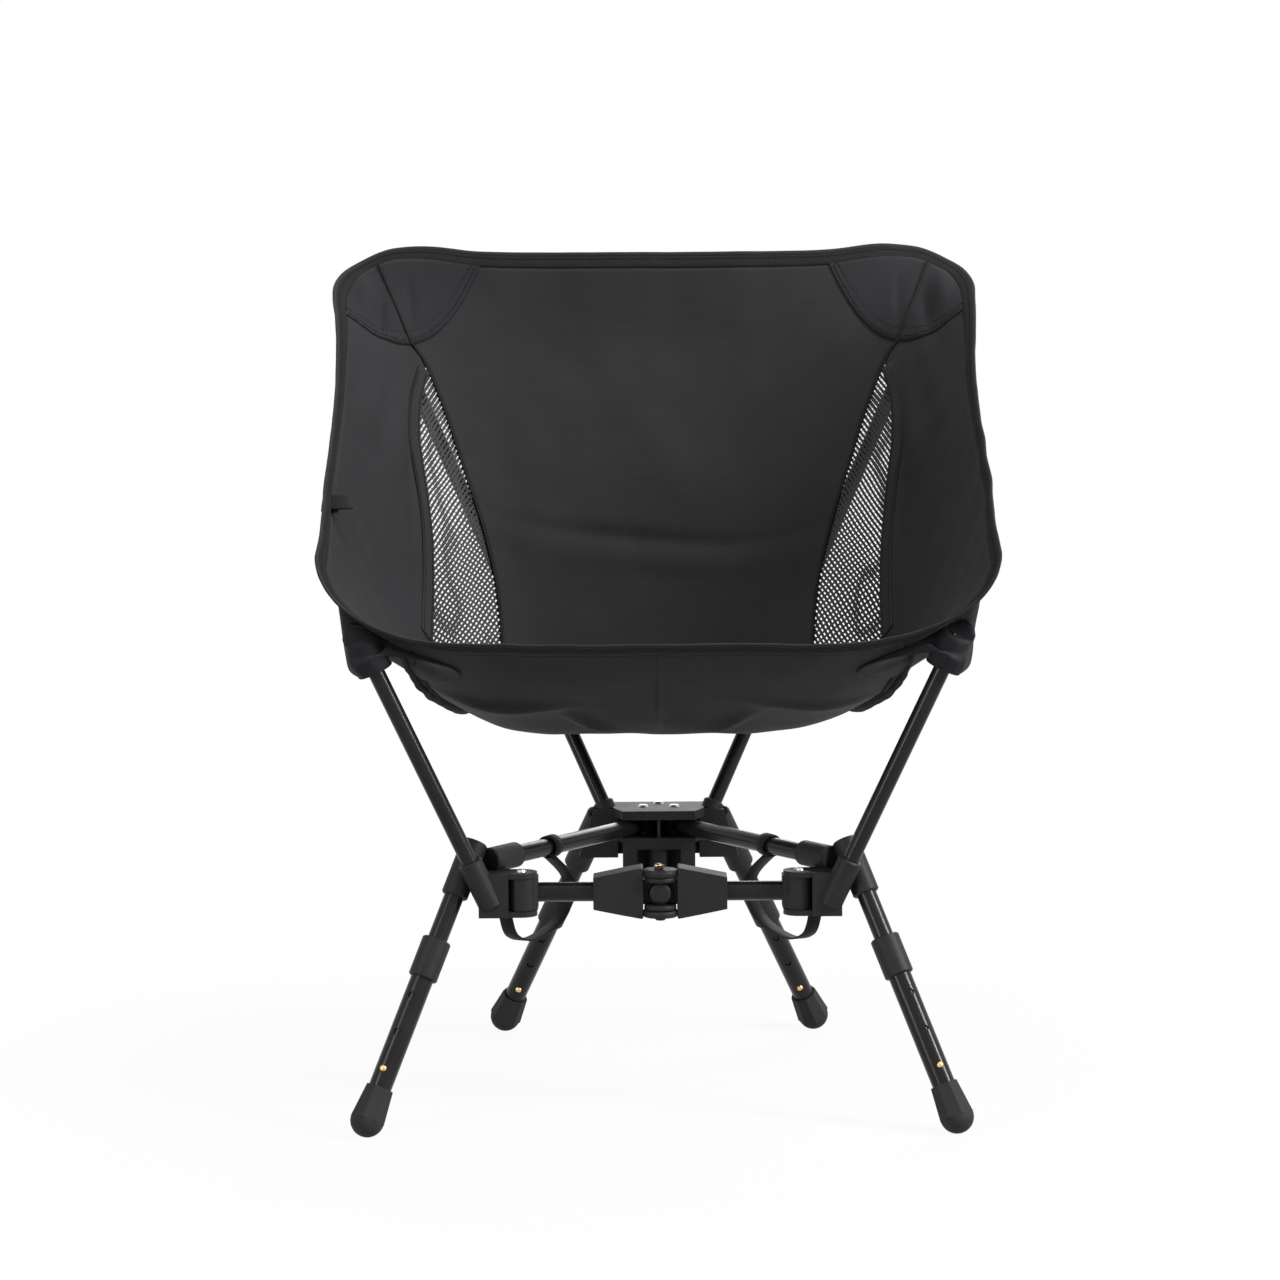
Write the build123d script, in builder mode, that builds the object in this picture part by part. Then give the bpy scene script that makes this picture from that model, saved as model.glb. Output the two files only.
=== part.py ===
"""Ultralight folding camp chair: hub frame, folding front bar, telescoping legs and a bucket seat.

Millimetres, +Z up, front of the chair towards -Y, origin on the floor under the middle of the
chair. Left is -X. Each side is built by the same functions, with side = -1 or +1.
"""
import os
from math import radians, sin

from build123d import *

os.makedirs("parts", exist_ok=True)

# ---- tubes ---------------------------------------------------------------------------------
FRONT_POLE_R = 6.5
REAR_POLE_R = 6.1
FRAME_TUBE_R = 7.0
BAR_TUBE_R = 7.6
LEG_TUBE_R = 7.7
LOWER_LEG_R = 8.9
TUBE_WALL = 0.9
SLIDE_CLEARANCE = 0.05
FIT_CLEARANCE = 0.05

# ---- where the frame stands -----------------------------------------------------------------
FOOT_BALL_R = 13.0
FOOT_FLAT_DROP = 0.5
FRONT_FOOT = (224.0, -196.0)
FRONT_LEG_TOP = (144.0, -115.0, 213.0)
REAR_FOOT = (135.0, 183.0)
REAR_LEG_TOP = (52.0, 75.6, 200.0)

FRONT_POLE_FOOT = (132.0, -136.0, 168.0)
FRONT_POLE_TIP = (228.0, -161.8, 377.9)
REAR_POLE_FOOT = (33.8, 67.8, 188.0)
REAR_POLE_TIP = (250.0, 199.9, 660.0)

ARM_PIVOT = (13.0, 66.0)
ARM_Z = 199.0
ARM_END = (133.0, -120.0)

BAR_PIVOT = (108.0, -128.0)
BAR_AXIS_Y = -122.0
BAR_Z = 174.5

# ---- legs ------------------------------------------------------------------------------------
LEG_LENGTH_BELOW = 146.0
LEG_TUBE_START = 3.0
UPPER_TUBE_END = 32.0
HOLE_START = 40.0
HOLE_PITCH = 30.0
HOLE_COUNT = 3
BUTTON_R = 2.6
BUTTON_HOLE_CLEARANCE = 0.2
BUTTON_PROUD = 2.0
SPRING_WIDTH = 6.0
SPRING_LENGTH = 24.0
SPRING_THICKNESS = 0.6
COLLAR_LENGTH = 32.0
COLLAR_R = 11.4
COLLAR_LIP = 2.0
FOOT_NECK_R = 11.2
FOOT_FLARE_R = 14.0
FOOT_HEIGHT = 26.0
FOOT_SIDES = 8

# ---- corner hub ------------------------------------------------------------------------------
LEG_SOCKET_R = 10.5
LEG_SOCKET_LENGTH = 46.0
LEG_TOP_INSET = 4.0
POLE_SOCKET_R = 9.5
POLE_SOCKET_LENGTH = 40.0
SOCKET_FLOOR = 3.0
SOCKET_CHAMFER = 1.2
ARM_SOCKET_R = 10.0
ARM_SOCKET_LENGTH = 36.0
ARM_TUBE_INSET = 6.0
CLEVIS_PLATE = 4.2
CLEVIS_CLEARANCE = 0.4
CLEVIS_R = 12.5
WEB_DEPTH = 28.0
WEB_START = 9.5
WEB_REACH = 32.5
WEB_GAP = 1.2

# ---- folding front bar -----------------------------------------------------------------------
END_BLOCK_HEIGHT = 25.0
END_BLOCK_R = 11.0
END_BLOCK_LENGTH = 13.0
END_BLOCK_DEPTH = 22.0
END_BLOCK_CHAMFER = 3.0
END_TUBE_HOLD = 8.0
PIVOT_PIN_R = 3.0
PIN_CLEARANCE = 0.05
RIVET_HEAD_R = 4.5
RIVET_HEAD_HEIGHT = 1.6
HINGE_OUTER_X = 52.0
HINGE_INNER_X = 16.0
HINGE_LAP_X = 38.0
HINGE_OUTER_HALF_HEIGHT = 12.5
HINGE_INNER_HALF_HEIGHT = 20.0
HINGE_DEPTH = 24.0
HINGE_EYE_R = 10.0
TONGUE_HALF_HEIGHT = 12.0
TONGUE_HALF_WIDTH = 11.0
LAP_CLEARANCE = 0.4
BAR_TUBE_HOLD = 10.0
LOCK_BUTTON_R = 8.3
LOCK_BUTTON_LENGTH = 10.0
LOCK_BUTTON_PROUD = 1.5
LOCK_BUTTON_TRAVEL = 2.0
LOCK_BUTTON_CLEARANCE = 0.2
STUB_PIN_R = 2.5

# ---- rear hub --------------------------------------------------------------------------------
SLOT_HALF_HEIGHT = 7.6
ARM_EYE_HALF_HEIGHT = 7.1
ARM_EYE_R = 8.5
ARM_PLUG_LENGTH = 32.0
ARM_TUBE_START = 10.0
HUB_TOP_PLATE = 7.4
HUB_MID_PLATE = 3.4
HUB_FRONT_Y = 38.0
HUB_BACK_Y = 95.0
HUB_BACK_WALL = 14.0
HUB_FRONT_HALF_WIDTH = 30.0
HUB_BACK_HALF_WIDTH = 38.0
HUB_CORE_HALF_WIDTH = 30.0
HUB_CORE_BOTTOM = 156.0
HUB_CORE_MOUTH = 36.0
HUB_CORE_MOUTH_DEPTH = 26.0
HUB_BARREL_R = 9.0
HUB_BARREL_INSET = 3.0
HUB_SIDE_DROP = 2.0
HUB_RIB = 2.4
HUB_SIDE_INNER_X = 34.0
HUB_SIDE_OUTER_X = 54.0
HUB_SIDE_SPLAY = 13.0
HUB_SIDE_FRONT_Y = 60.0
HUB_SIDE_BOTTOM = 172.0
HUB_LEG_SOCKET_R = 11.0
HUB_LEG_SOCKET_BOTTOM = 160.0
HUB_LEG_SOCKET_TOP = 207.0
HUB_POLE_SOCKET_R = 8.8
HUB_POLE_SOCKET_TOP = 217.0
HUB_LEG_TUBE_TOP = 190.0
CENTRE_RIVET_Y = 86.0

# ---- seat ------------------------------------------------------------------------------------
CLOTH = 1.2
SEAT_CENTRE_LINE = (
    (188.0, 665.0),
    (167.0, 562.0),
    (141.0, 462.0),
    (112.0, 372.0),
    (74.0, 310.0),
    (18.0, 283.0),
    (-60.0, 300.0),
    (-125.0, 335.0),
    (-165.0, 364.0),
)
BACK_CORNER = (261.5, 194.0, 671.0)
FRONT_CORNER = (253.5, -168.0, 424.0)
BUCKET_POWER_BACK = 3.0
BUCKET_POWER_FRONT = 7.0
BUCKET_POWER_GROWTH = 2.5
BACK_SEAM_V = 0.58
SEAM_TOP_U = 0.87
MESH_TOP_V = 0.148
MESH_TOP_U = 0.71
MESH_INNER_U = 0.45
MESH_OUTER_U = 0.67
MESH_BULGE_U = 0.05
MESH_TIP_U = 0.004
SEAM_GAP_U = 0.0010
SEAM_GAP_V = 0.0005
BACK_POCKET_LENGTH = 62.0
FRONT_POCKET_LENGTH = 34.0
POCKET_MOUTH_R = 9.5
POCKET_TIP_R = 9.0
POCKET_CLEARANCE = 0.3
POCKET_END_GAP = 0.6

# ---- straps ----------------------------------------------------------------------------------
STRAP_WIDTH = 12.0
STRAP_THICKNESS = 1.4
STRAP_ARM_DISTANCE = 84.0
STRAP_SLEEVE_R = 8.6
STRAP_ANCHOR_OUT = 13.0
STRAP_ANCHOR_BACK = 8.0
STRAP_ANCHOR_GAP = 0.6

SIDES = (("left", -1), ("right", 1))


def at(point, side):
    """A point given for the right half, moved to the side asked for."""
    return Vector(point[0] * side, point[1], point[2])


def finish(builder, name):
    """Label a finished piece and write its STEP file."""
    builder.part.label = name
    export_step(builder.part, f"parts/{name}.step")


def along(start, end, distance, x_dir=None):
    """A plane square to the line from start to end, a distance along it."""
    direction = (end - start).normalized()
    return Plane(origin=start + direction * distance, x_dir=x_dir, z_dir=direction)


def round_bar(plane, length, radius, mode=Mode.ADD):
    """A round bar inside the part being built, from a plane along its normal."""
    with BuildSketch(plane) as disc:
        Circle(radius)
    extrude(disc.sketch, amount=length, mode=mode)


def socket_bar(plane, length, radius):
    """A round bar with chamfered ends, for the outside of a socket."""
    round_bar(plane.offset(SOCKET_CHAMFER), length - 2 * SOCKET_CHAMFER, radius)
    far_end = plane.offset(length - SOCKET_CHAMFER)
    near_end = Plane(origin=plane.offset(SOCKET_CHAMFER).origin, z_dir=-plane.z_dir)
    for end_plane in (far_end, near_end):
        with BuildSketch(end_plane) as disc:
            Circle(radius)
        extrude(disc.sketch, amount=SOCKET_CHAMFER, taper=45)


def tube_piece(name, plane, length, radius):
    """A hollow round tube as a piece of its own."""
    with BuildPart() as tube:
        with BuildSketch(plane):
            Circle(radius)
            Circle(radius - TUBE_WALL, mode=Mode.SUBTRACT)
        extrude(amount=length)
    finish(tube, name)


def pin_with_head(point, bottom_z, top_z, radius, head_r, head_height):
    """A rivet inside the part being built: a round shank with a low head on top."""
    round_bar(Plane((point.X, point.Y, bottom_z)), top_z - bottom_z, radius)
    with BuildSketch(Plane((point.X, point.Y, top_z))) as head:
        Circle(head_r)
    extrude(head.sketch, amount=head_height, taper=30)


# ---- legs ------------------------------------------------------------------------------------
def foot_centre(foot, side):
    return Vector(foot[0] * side, foot[1], FOOT_BALL_R - FOOT_FLAT_DROP)


def leg_pieces(name, foot, top, upper_length, hole_towards):
    """One telescoping leg: foot, lower tube with holes, collar, upper tube and snap button."""
    axis = (top - foot).normalized()
    facing = (hole_towards - axis * hole_towards.dot(axis)).normalized()

    def station(distance):
        return Plane(origin=foot + axis * distance, x_dir=facing, z_dir=axis)

    def facing_plane(distance):
        return Plane(origin=foot + axis * distance, x_dir=axis, z_dir=facing)

    with BuildPart() as shoe:
        with BuildSketch(station(FOOT_HEIGHT)):
            RegularPolygon(FOOT_NECK_R, FOOT_SIDES)
        with BuildSketch(station(0)):
            RegularPolygon(FOOT_FLARE_R, FOOT_SIDES)
        loft()
        with Locations(foot):
            Sphere(FOOT_BALL_R)
        round_bar(station(LEG_TUBE_START), FOOT_HEIGHT, LOWER_LEG_R + FIT_CLEARANCE, Mode.SUBTRACT)
        with Locations((foot.X, foot.Y, -FOOT_BALL_R)):
            Box(4 * FOOT_BALL_R, 4 * FOOT_BALL_R, 2 * FOOT_BALL_R, mode=Mode.SUBTRACT)
    finish(shoe, f"foot_{name}")

    with BuildPart() as lower_tube:
        with BuildSketch(station(LEG_TUBE_START)):
            Circle(LOWER_LEG_R)
            Circle(LEG_TUBE_R + SLIDE_CLEARANCE, mode=Mode.SUBTRACT)
        extrude(amount=LEG_LENGTH_BELOW - LEG_TUBE_START)
        for step in range(HOLE_COUNT):
            hole_plane = facing_plane(HOLE_START + step * HOLE_PITCH)
            round_bar(hole_plane, LOWER_LEG_R + 1, BUTTON_R + BUTTON_HOLE_CLEARANCE, Mode.SUBTRACT)
    finish(lower_tube, f"lower_leg_{name}")

    collar_start = LEG_LENGTH_BELOW + COLLAR_LIP - COLLAR_LENGTH
    with BuildPart() as collar:
        round_bar(station(collar_start), COLLAR_LENGTH, COLLAR_R)
        chamfer(collar.edges().filter_by(GeomType.CIRCLE), length=1.0)
        round_bar(station(collar_start), LEG_LENGTH_BELOW - collar_start,
                  LOWER_LEG_R + FIT_CLEARANCE, Mode.SUBTRACT)
        round_bar(station(LEG_LENGTH_BELOW), COLLAR_LIP, LEG_TUBE_R + SLIDE_CLEARANCE, Mode.SUBTRACT)
    finish(collar, f"leg_collar_{name}")

    with BuildPart() as upper_tube:
        with BuildSketch(station(UPPER_TUBE_END)):
            Circle(LEG_TUBE_R)
            Circle(LEG_TUBE_R - TUBE_WALL, mode=Mode.SUBTRACT)
        extrude(amount=upper_length - UPPER_TUBE_END)
        round_bar(facing_plane(HOLE_START), LEG_TUBE_R + 1,
                  BUTTON_R + BUTTON_HOLE_CLEARANCE, Mode.SUBTRACT)
    finish(upper_tube, f"upper_leg_{name}")

    button_base = LEG_TUBE_R - TUBE_WALL - 2 * SPRING_THICKNESS
    button_tip = LOWER_LEG_R + BUTTON_PROUD
    spring_back = LEG_TUBE_R - TUBE_WALL - 2 * SPRING_THICKNESS
    with BuildPart() as button:
        pressed_into = facing_plane(HOLE_START).offset(button_base)
        round_bar(pressed_into, button_tip - button_base, BUTTON_R)
        fillet(button.faces().sort_by(Axis(foot, facing))[-1].edges(), BUTTON_R * 0.6)
        strip_plane = Plane(origin=foot + axis * HOLE_START, x_dir=facing, z_dir=facing.cross(axis))
        with BuildSketch(strip_plane.offset(-SPRING_WIDTH / 2)):
            with BuildLine():
                bend = SPRING_LENGTH * 0.6
                Polyline(
                    (button_base, -SPRING_LENGTH * 0.2),
                    (button_base, bend),
                    (0.0, bend + SPRING_THICKNESS * 2),
                    (-spring_back, 0.0),
                    (-spring_back + SPRING_THICKNESS, 0.0),
                    (0.0, bend),
                    (button_base - SPRING_THICKNESS, bend - SPRING_THICKNESS),
                    (button_base - SPRING_THICKNESS, -SPRING_LENGTH * 0.2),
                    close=True,
                )
            make_face()
        extrude(amount=SPRING_WIDTH)
    finish(button, f"snap_button_{name}")


# ---- rear hub --------------------------------------------------------------------------------
SLOT_BOTTOM = ARM_Z - SLOT_HALF_HEIGHT
SLOT_TOP = ARM_Z + SLOT_HALF_HEIGHT
HUB_TOP = SLOT_TOP + HUB_TOP_PLATE


def hub_plate_outline(height):
    """The outline shared by the hub's top plate and slot floor, at a height."""
    with BuildSketch(Plane.XY.offset(height)) as outline:
        with BuildLine():
            Polyline(
                (-HUB_FRONT_HALF_WIDTH, HUB_FRONT_Y),
                (HUB_FRONT_HALF_WIDTH, HUB_FRONT_Y),
                (HUB_BACK_HALF_WIDTH, HUB_SIDE_FRONT_Y),
                (HUB_BACK_HALF_WIDTH, HUB_BACK_Y),
                (-HUB_BACK_HALF_WIDTH, HUB_BACK_Y),
                (-HUB_BACK_HALF_WIDTH, HUB_SIDE_FRONT_Y),
                close=True,
            )
        make_face()
    return outline.sketch


def point_at_height(start, end, height):
    """The point on the line from start to end that lies at a height."""
    return start + (end - start) * ((height - start.Z) / (end.Z - start.Z))


def rear_leg_line(side):
    return foot_centre(REAR_FOOT, side), at(REAR_LEG_TOP, side)


def rear_pole_line(side):
    return at(REAR_POLE_FOOT, side), at(REAR_POLE_TIP, side)


def between_heights(line, low, high):
    """The plane at the low height on a line, square to it, and the length up to the high one."""
    start = point_at_height(*line, low)
    end = point_at_height(*line, high)
    return along(start, end, 0), (end - start).length


with BuildPart() as rear_hub:
    extrude(hub_plate_outline(SLOT_TOP), amount=HUB_TOP_PLATE)
    extrude(hub_plate_outline(SLOT_BOTTOM - HUB_MID_PLATE), amount=HUB_MID_PLATE)
    with BuildSketch(Plane.XY.offset(HUB_SIDE_BOTTOM)):
        with Locations((0, HUB_BACK_Y - HUB_BACK_WALL / 2)):
            Rectangle(2 * HUB_BACK_HALF_WIDTH, HUB_BACK_WALL)
    extrude(amount=HUB_TOP - HUB_SIDE_BOTTOM)
    with BuildSketch(Plane.XY.offset(SLOT_BOTTOM)):
        with Locations((0, (HUB_FRONT_Y + HUB_BACK_Y) / 2)):
            Rectangle(HUB_RIB, HUB_BACK_Y - HUB_FRONT_Y - 4)
    extrude(amount=2 * SLOT_HALF_HEIGHT)
    with BuildSketch(Plane.XY.offset(HUB_CORE_BOTTOM)):
        with Locations((0, (HUB_FRONT_Y + HUB_BACK_Y) / 2)):
            Rectangle(2 * HUB_CORE_HALF_WIDTH, HUB_BACK_Y - HUB_FRONT_Y)
    extrude(amount=SLOT_BOTTOM - HUB_CORE_BOTTOM)
    hub_back = Plane(origin=(0, HUB_BACK_Y, 0), x_dir=(1, 0, 0), z_dir=(0, -1, 0))
    for _, side in SIDES:
        with BuildSketch(hub_back):
            with BuildLine():
                Polyline(
                    (HUB_SIDE_INNER_X * side, HUB_TOP - HUB_SIDE_DROP),
                    (HUB_SIDE_OUTER_X * side, HUB_TOP - HUB_SIDE_DROP),
                    ((HUB_SIDE_OUTER_X + HUB_SIDE_SPLAY) * side, HUB_SIDE_BOTTOM),
                    (HUB_SIDE_INNER_X * side, HUB_SIDE_BOTTOM),
                    close=True,
                )
            make_face()
        extrude(amount=HUB_BACK_Y - HUB_SIDE_FRONT_Y)
    for _, side in SIDES:
        socket_plane, socket_length = between_heights(
            rear_leg_line(side), HUB_LEG_SOCKET_BOTTOM, HUB_LEG_SOCKET_TOP)
        socket_bar(socket_plane, socket_length, HUB_LEG_SOCKET_R)
        pole_plane, pole_length = between_heights(
            rear_pole_line(side), REAR_POLE_FOOT[2] - SOCKET_FLOOR, HUB_POLE_SOCKET_TOP)
        socket_bar(pole_plane, pole_length, HUB_POLE_SOCKET_R)
    with BuildSketch(Plane.XY.offset(HUB_CORE_BOTTOM)):
        with Locations((0, HUB_FRONT_Y)):
            Circle(HUB_CORE_MOUTH / 2)
    extrude(amount=HUB_CORE_MOUTH_DEPTH, mode=Mode.SUBTRACT)
    barrel_y = HUB_FRONT_Y + HUB_BARREL_R + HUB_BARREL_INSET
    round_bar(Plane((0, barrel_y, HUB_CORE_BOTTOM)), HUB_CORE_MOUTH_DEPTH, HUB_BARREL_R)
    for _, side in SIDES:
        bore_plane, bore_length = between_heights(
            rear_leg_line(side), HUB_LEG_SOCKET_BOTTOM - 20, HUB_LEG_TUBE_TOP)
        round_bar(bore_plane, bore_length, LEG_TUBE_R + FIT_CLEARANCE, Mode.SUBTRACT)
        bore_plane, bore_length = between_heights(
            rear_pole_line(side), REAR_POLE_FOOT[2], HUB_POLE_SOCKET_TOP + 20)
        round_bar(bore_plane, bore_length, REAR_POLE_R + FIT_CLEARANCE, Mode.SUBTRACT)
        pin_point = Vector(ARM_PIVOT[0] * side, ARM_PIVOT[1], 0)
        round_bar(Plane((pin_point.X, pin_point.Y, SLOT_BOTTOM - HUB_MID_PLATE)),
                  HUB_TOP, PIVOT_PIN_R + FIT_CLEARANCE, Mode.SUBTRACT)
    round_bar(Plane((0, CENTRE_RIVET_Y, SLOT_TOP)), HUB_TOP, PIVOT_PIN_R + FIT_CLEARANCE, Mode.SUBTRACT)
finish(rear_hub, "rear_hub")

with BuildPart() as hub_rivets:
    for _, side in SIDES:
        pin_point = Vector(ARM_PIVOT[0] * side, ARM_PIVOT[1], 0)
        pin_with_head(pin_point, SLOT_BOTTOM - HUB_MID_PLATE, HUB_TOP, PIVOT_PIN_R,
                      RIVET_HEAD_R, RIVET_HEAD_HEIGHT)
    pin_with_head(Vector(0, CENTRE_RIVET_Y, 0), SLOT_TOP, HUB_TOP, PIVOT_PIN_R,
                  RIVET_HEAD_R, RIVET_HEAD_HEIGHT)
finish(hub_rivets, "hub_rivets")


# ---- side arm, corner hub and what they carry ------------------------------------------------
def arm_line(side):
    pivot = Vector(ARM_PIVOT[0] * side, ARM_PIVOT[1], ARM_Z)
    end = Vector(ARM_END[0] * side, ARM_END[1], ARM_Z)
    return pivot, end


def corner_outline(side, radius):
    """The clevis plate seen from above: round at the bar pivot, square at the web."""
    with Locations((BAR_PIVOT[0] * side, BAR_PIVOT[1])):
        Circle(radius)
    with Locations(((BAR_PIVOT[0] + WEB_REACH / 2) * side, BAR_PIVOT[1])):
        Rectangle(WEB_REACH, 2 * radius)


def corner_hub_piece(name, side):
    """The moulded corner: leg socket, seat pole socket, arm socket and the front bar's clevis."""
    foot = foot_centre(FRONT_FOOT, side)
    leg_top = at(FRONT_LEG_TOP, side)
    leg_length = (leg_top - foot).length
    pole_foot = at(FRONT_POLE_FOOT, side)
    pole_tip = at(FRONT_POLE_TIP, side)
    pivot, arm_end = arm_line(side)
    clevis_low = BAR_Z - END_BLOCK_HEIGHT / 2 - CLEVIS_CLEARANCE - CLEVIS_PLATE
    clevis_high = BAR_Z + END_BLOCK_HEIGHT / 2 + CLEVIS_CLEARANCE
    web_middle = (BAR_PIVOT[0] + (WEB_START + WEB_REACH) / 2) * side
    pin_plane = Plane((BAR_PIVOT[0] * side, BAR_PIVOT[1], clevis_low))
    hollow_height = clevis_high - clevis_low - CLEVIS_PLATE
    with BuildPart() as corner:
        socket_bar(along(foot, leg_top, leg_length - LEG_SOCKET_LENGTH), LEG_SOCKET_LENGTH, LEG_SOCKET_R)
        socket_bar(along(pole_foot, pole_tip, -SOCKET_FLOOR), POLE_SOCKET_LENGTH, POLE_SOCKET_R)
        socket_bar(along(arm_end, pivot, 0), ARM_SOCKET_LENGTH, ARM_SOCKET_R)
        for plate_z in (clevis_low, clevis_high):
            with BuildSketch(Plane.XY.offset(plate_z)):
                corner_outline(side, CLEVIS_R)
            extrude(amount=CLEVIS_PLATE)
        with BuildSketch(Plane.XY.offset(clevis_low)):
            with Locations((web_middle, BAR_PIVOT[1])):
                Rectangle(WEB_REACH - WEB_START, WEB_DEPTH)
        extrude(amount=clevis_high - clevis_low + CLEVIS_PLATE)
        round_bar(pin_plane.offset(CLEVIS_PLATE), hollow_height, END_BLOCK_R + WEB_GAP, Mode.SUBTRACT)
        round_bar(along(foot, leg_top, 0), leg_length + 1, LEG_TUBE_R + FIT_CLEARANCE, Mode.SUBTRACT)
        round_bar(along(pole_foot, pole_tip, 0), 2 * POLE_SOCKET_LENGTH,
                  FRONT_POLE_R + FIT_CLEARANCE, Mode.SUBTRACT)
        round_bar(along(arm_end, pivot, ARM_TUBE_INSET), ARM_SOCKET_LENGTH,
                  FRAME_TUBE_R + FIT_CLEARANCE, Mode.SUBTRACT)
        round_bar(pin_plane, clevis_high, PIVOT_PIN_R + FIT_CLEARANCE, Mode.SUBTRACT)
    finish(corner, f"corner_hub_{name}")

    with BuildPart() as rivet:
        pin_with_head(Vector(BAR_PIVOT[0] * side, BAR_PIVOT[1], 0), clevis_low,
                      clevis_high + CLEVIS_PLATE, PIVOT_PIN_R, RIVET_HEAD_R, RIVET_HEAD_HEIGHT)
    finish(rivet, f"corner_rivet_{name}")

    upper_length = leg_length - LEG_TOP_INSET
    outward = Vector(side * 0.35, -1, 0)
    leg_pieces(f"front_{name}", foot, leg_top, upper_length, outward)
    pole_length = (pole_tip - pole_foot).length
    tube_piece(f"front_pole_{name}", along(pole_foot, pole_tip, 0), pole_length, FRONT_POLE_R)


def side_arm_piece(name, side):
    """The side arm's tube and the plastic eye that turns on the rear hub's pin."""
    pivot, end = arm_line(side)
    arm_length = (end - pivot).length
    tube_piece(f"side_arm_{name}", along(pivot, end, ARM_TUBE_START),
               arm_length - ARM_TUBE_START - ARM_TUBE_INSET, FRAME_TUBE_R)
    with BuildPart() as eye:
        round_bar(Plane((pivot.X, pivot.Y, ARM_Z - ARM_EYE_HALF_HEIGHT)),
                  2 * ARM_EYE_HALF_HEIGHT, ARM_EYE_R)
        round_bar(along(pivot, end, 0), ARM_PLUG_LENGTH, FRAME_TUBE_R - TUBE_WALL - FIT_CLEARANCE)
        round_bar(along(pivot, end, 0), ARM_TUBE_START, FRAME_TUBE_R)
        round_bar(Plane((pivot.X, pivot.Y, 0)), HUB_TOP, PIVOT_PIN_R + PIN_CLEARANCE, Mode.SUBTRACT)
    finish(eye, f"arm_eye_{name}")


def pocket_piece(name, tip, foot, pole_radius, length):
    """A sewn sleeve that caps the end of a seat pole."""
    with BuildPart() as pocket:
        start = along(tip, foot, -POCKET_END_GAP)
        with BuildSketch(start.offset(length)):
            Circle(POCKET_MOUTH_R)
        with BuildSketch(start):
            Circle(POCKET_TIP_R)
        loft()
        with Locations(start.origin):
            Sphere(POCKET_TIP_R)
        round_bar(start, 2 * length,
                  pole_radius + POCKET_CLEARANCE, Mode.SUBTRACT)
    finish(pocket, name)


# ---- straps ----------------------------------------------------------------------------------
def strap_piece(name, side):
    """A webbing loop: a sleeve round the arm and a hanging band that ends under the corner hub."""
    pivot, end = arm_line(side)
    arm_length = (end - pivot).length
    across = (end - pivot).normalized()
    sleeve_plane = along(pivot, end, arm_length - STRAP_ARM_DISTANCE - STRAP_WIDTH / 2)
    middle = sleeve_plane.origin + across * (STRAP_WIDTH / 2)
    clevis_low = BAR_Z - END_BLOCK_HEIGHT / 2 - CLEVIS_CLEARANCE - CLEVIS_PLATE
    anchor = Vector((BAR_PIVOT[0] + STRAP_ANCHOR_OUT) * side, BAR_PIVOT[1] + STRAP_ANCHOR_BACK,
                    clevis_low - STRAP_ANCHOR_GAP)
    with BuildPart() as strap:
        with BuildSketch(sleeve_plane):
            Circle(STRAP_SLEEVE_R)
            Circle(FRAME_TUBE_R + FIT_CLEARANCE, mode=Mode.SUBTRACT)
        extrude(amount=STRAP_WIDTH)
        run = Vector(anchor.X - middle.X, anchor.Y - middle.Y, 0)
        band_plane = Plane(origin=(middle.X, middle.Y, 0), x_dir=run.normalized(),
                           z_dir=run.normalized().cross(Vector(0, 0, 1)))
        reach = run.length
        with BuildSketch(band_plane.offset(-STRAP_WIDTH / 2)):
            with BuildLine():
                Spline(
                    (0, ARM_Z - STRAP_SLEEVE_R + 0.2),
                    (-reach * 0.42, ARM_Z - 33),
                    (-reach * 0.20, ARM_Z - 60),
                    (reach * 0.42, ARM_Z - 69),
                    (reach * 0.85, ARM_Z - 61),
                    (reach, anchor.Z),
                )
            trace(line_width=STRAP_THICKNESS)
        extrude(amount=STRAP_WIDTH)
    finish(strap, f"strap_{name}")


# ---- folding front bar -----------------------------------------------------------------------
def front_bar_pieces(name, side):
    """Half of the front bar: the pivoting end block and the tube."""
    low = BAR_Z - END_BLOCK_HEIGHT / 2
    block_end = BAR_PIVOT[0] - END_BLOCK_LENGTH
    box_start = BAR_PIVOT[0] - END_BLOCK_R / 2
    with BuildPart() as end_block:
        with BuildSketch(Plane.XY.offset(low)):
            with Locations((BAR_PIVOT[0] * side, BAR_PIVOT[1])):
                Circle(END_BLOCK_R)
            with Locations(((block_end + box_start) / 2 * side, BAR_AXIS_Y)):
                Rectangle(box_start - block_end, END_BLOCK_DEPTH)
        extrude(amount=END_BLOCK_HEIGHT)
        front_edges = end_block.edges().filter_by(Axis.Z).group_by(Axis.Y)[0]
        chamfer(front_edges.sort_by(Axis.X)[0 if side > 0 else -1], length=END_BLOCK_CHAMFER)
        bore_start = Vector(block_end * side, BAR_AXIS_Y, BAR_Z)
        outward = Vector(side, 0, 0)
        round_bar(Plane(origin=bore_start, z_dir=outward), END_TUBE_HOLD,
                  BAR_TUBE_R + FIT_CLEARANCE, Mode.SUBTRACT)
        round_bar(Plane((BAR_PIVOT[0] * side, BAR_PIVOT[1], low)), END_BLOCK_HEIGHT,
                  PIVOT_PIN_R + PIN_CLEARANCE, Mode.SUBTRACT)
    finish(end_block, f"bar_end_block_{name}")
    tube_start = Vector((HINGE_OUTER_X - BAR_TUBE_HOLD) * side, BAR_AXIS_Y, BAR_Z)
    tube_length = block_end + END_TUBE_HOLD - (HINGE_OUTER_X - BAR_TUBE_HOLD)
    tube_piece(f"front_bar_{name}", Plane(origin=tube_start, z_dir=outward), tube_length, BAR_TUBE_R)


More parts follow.
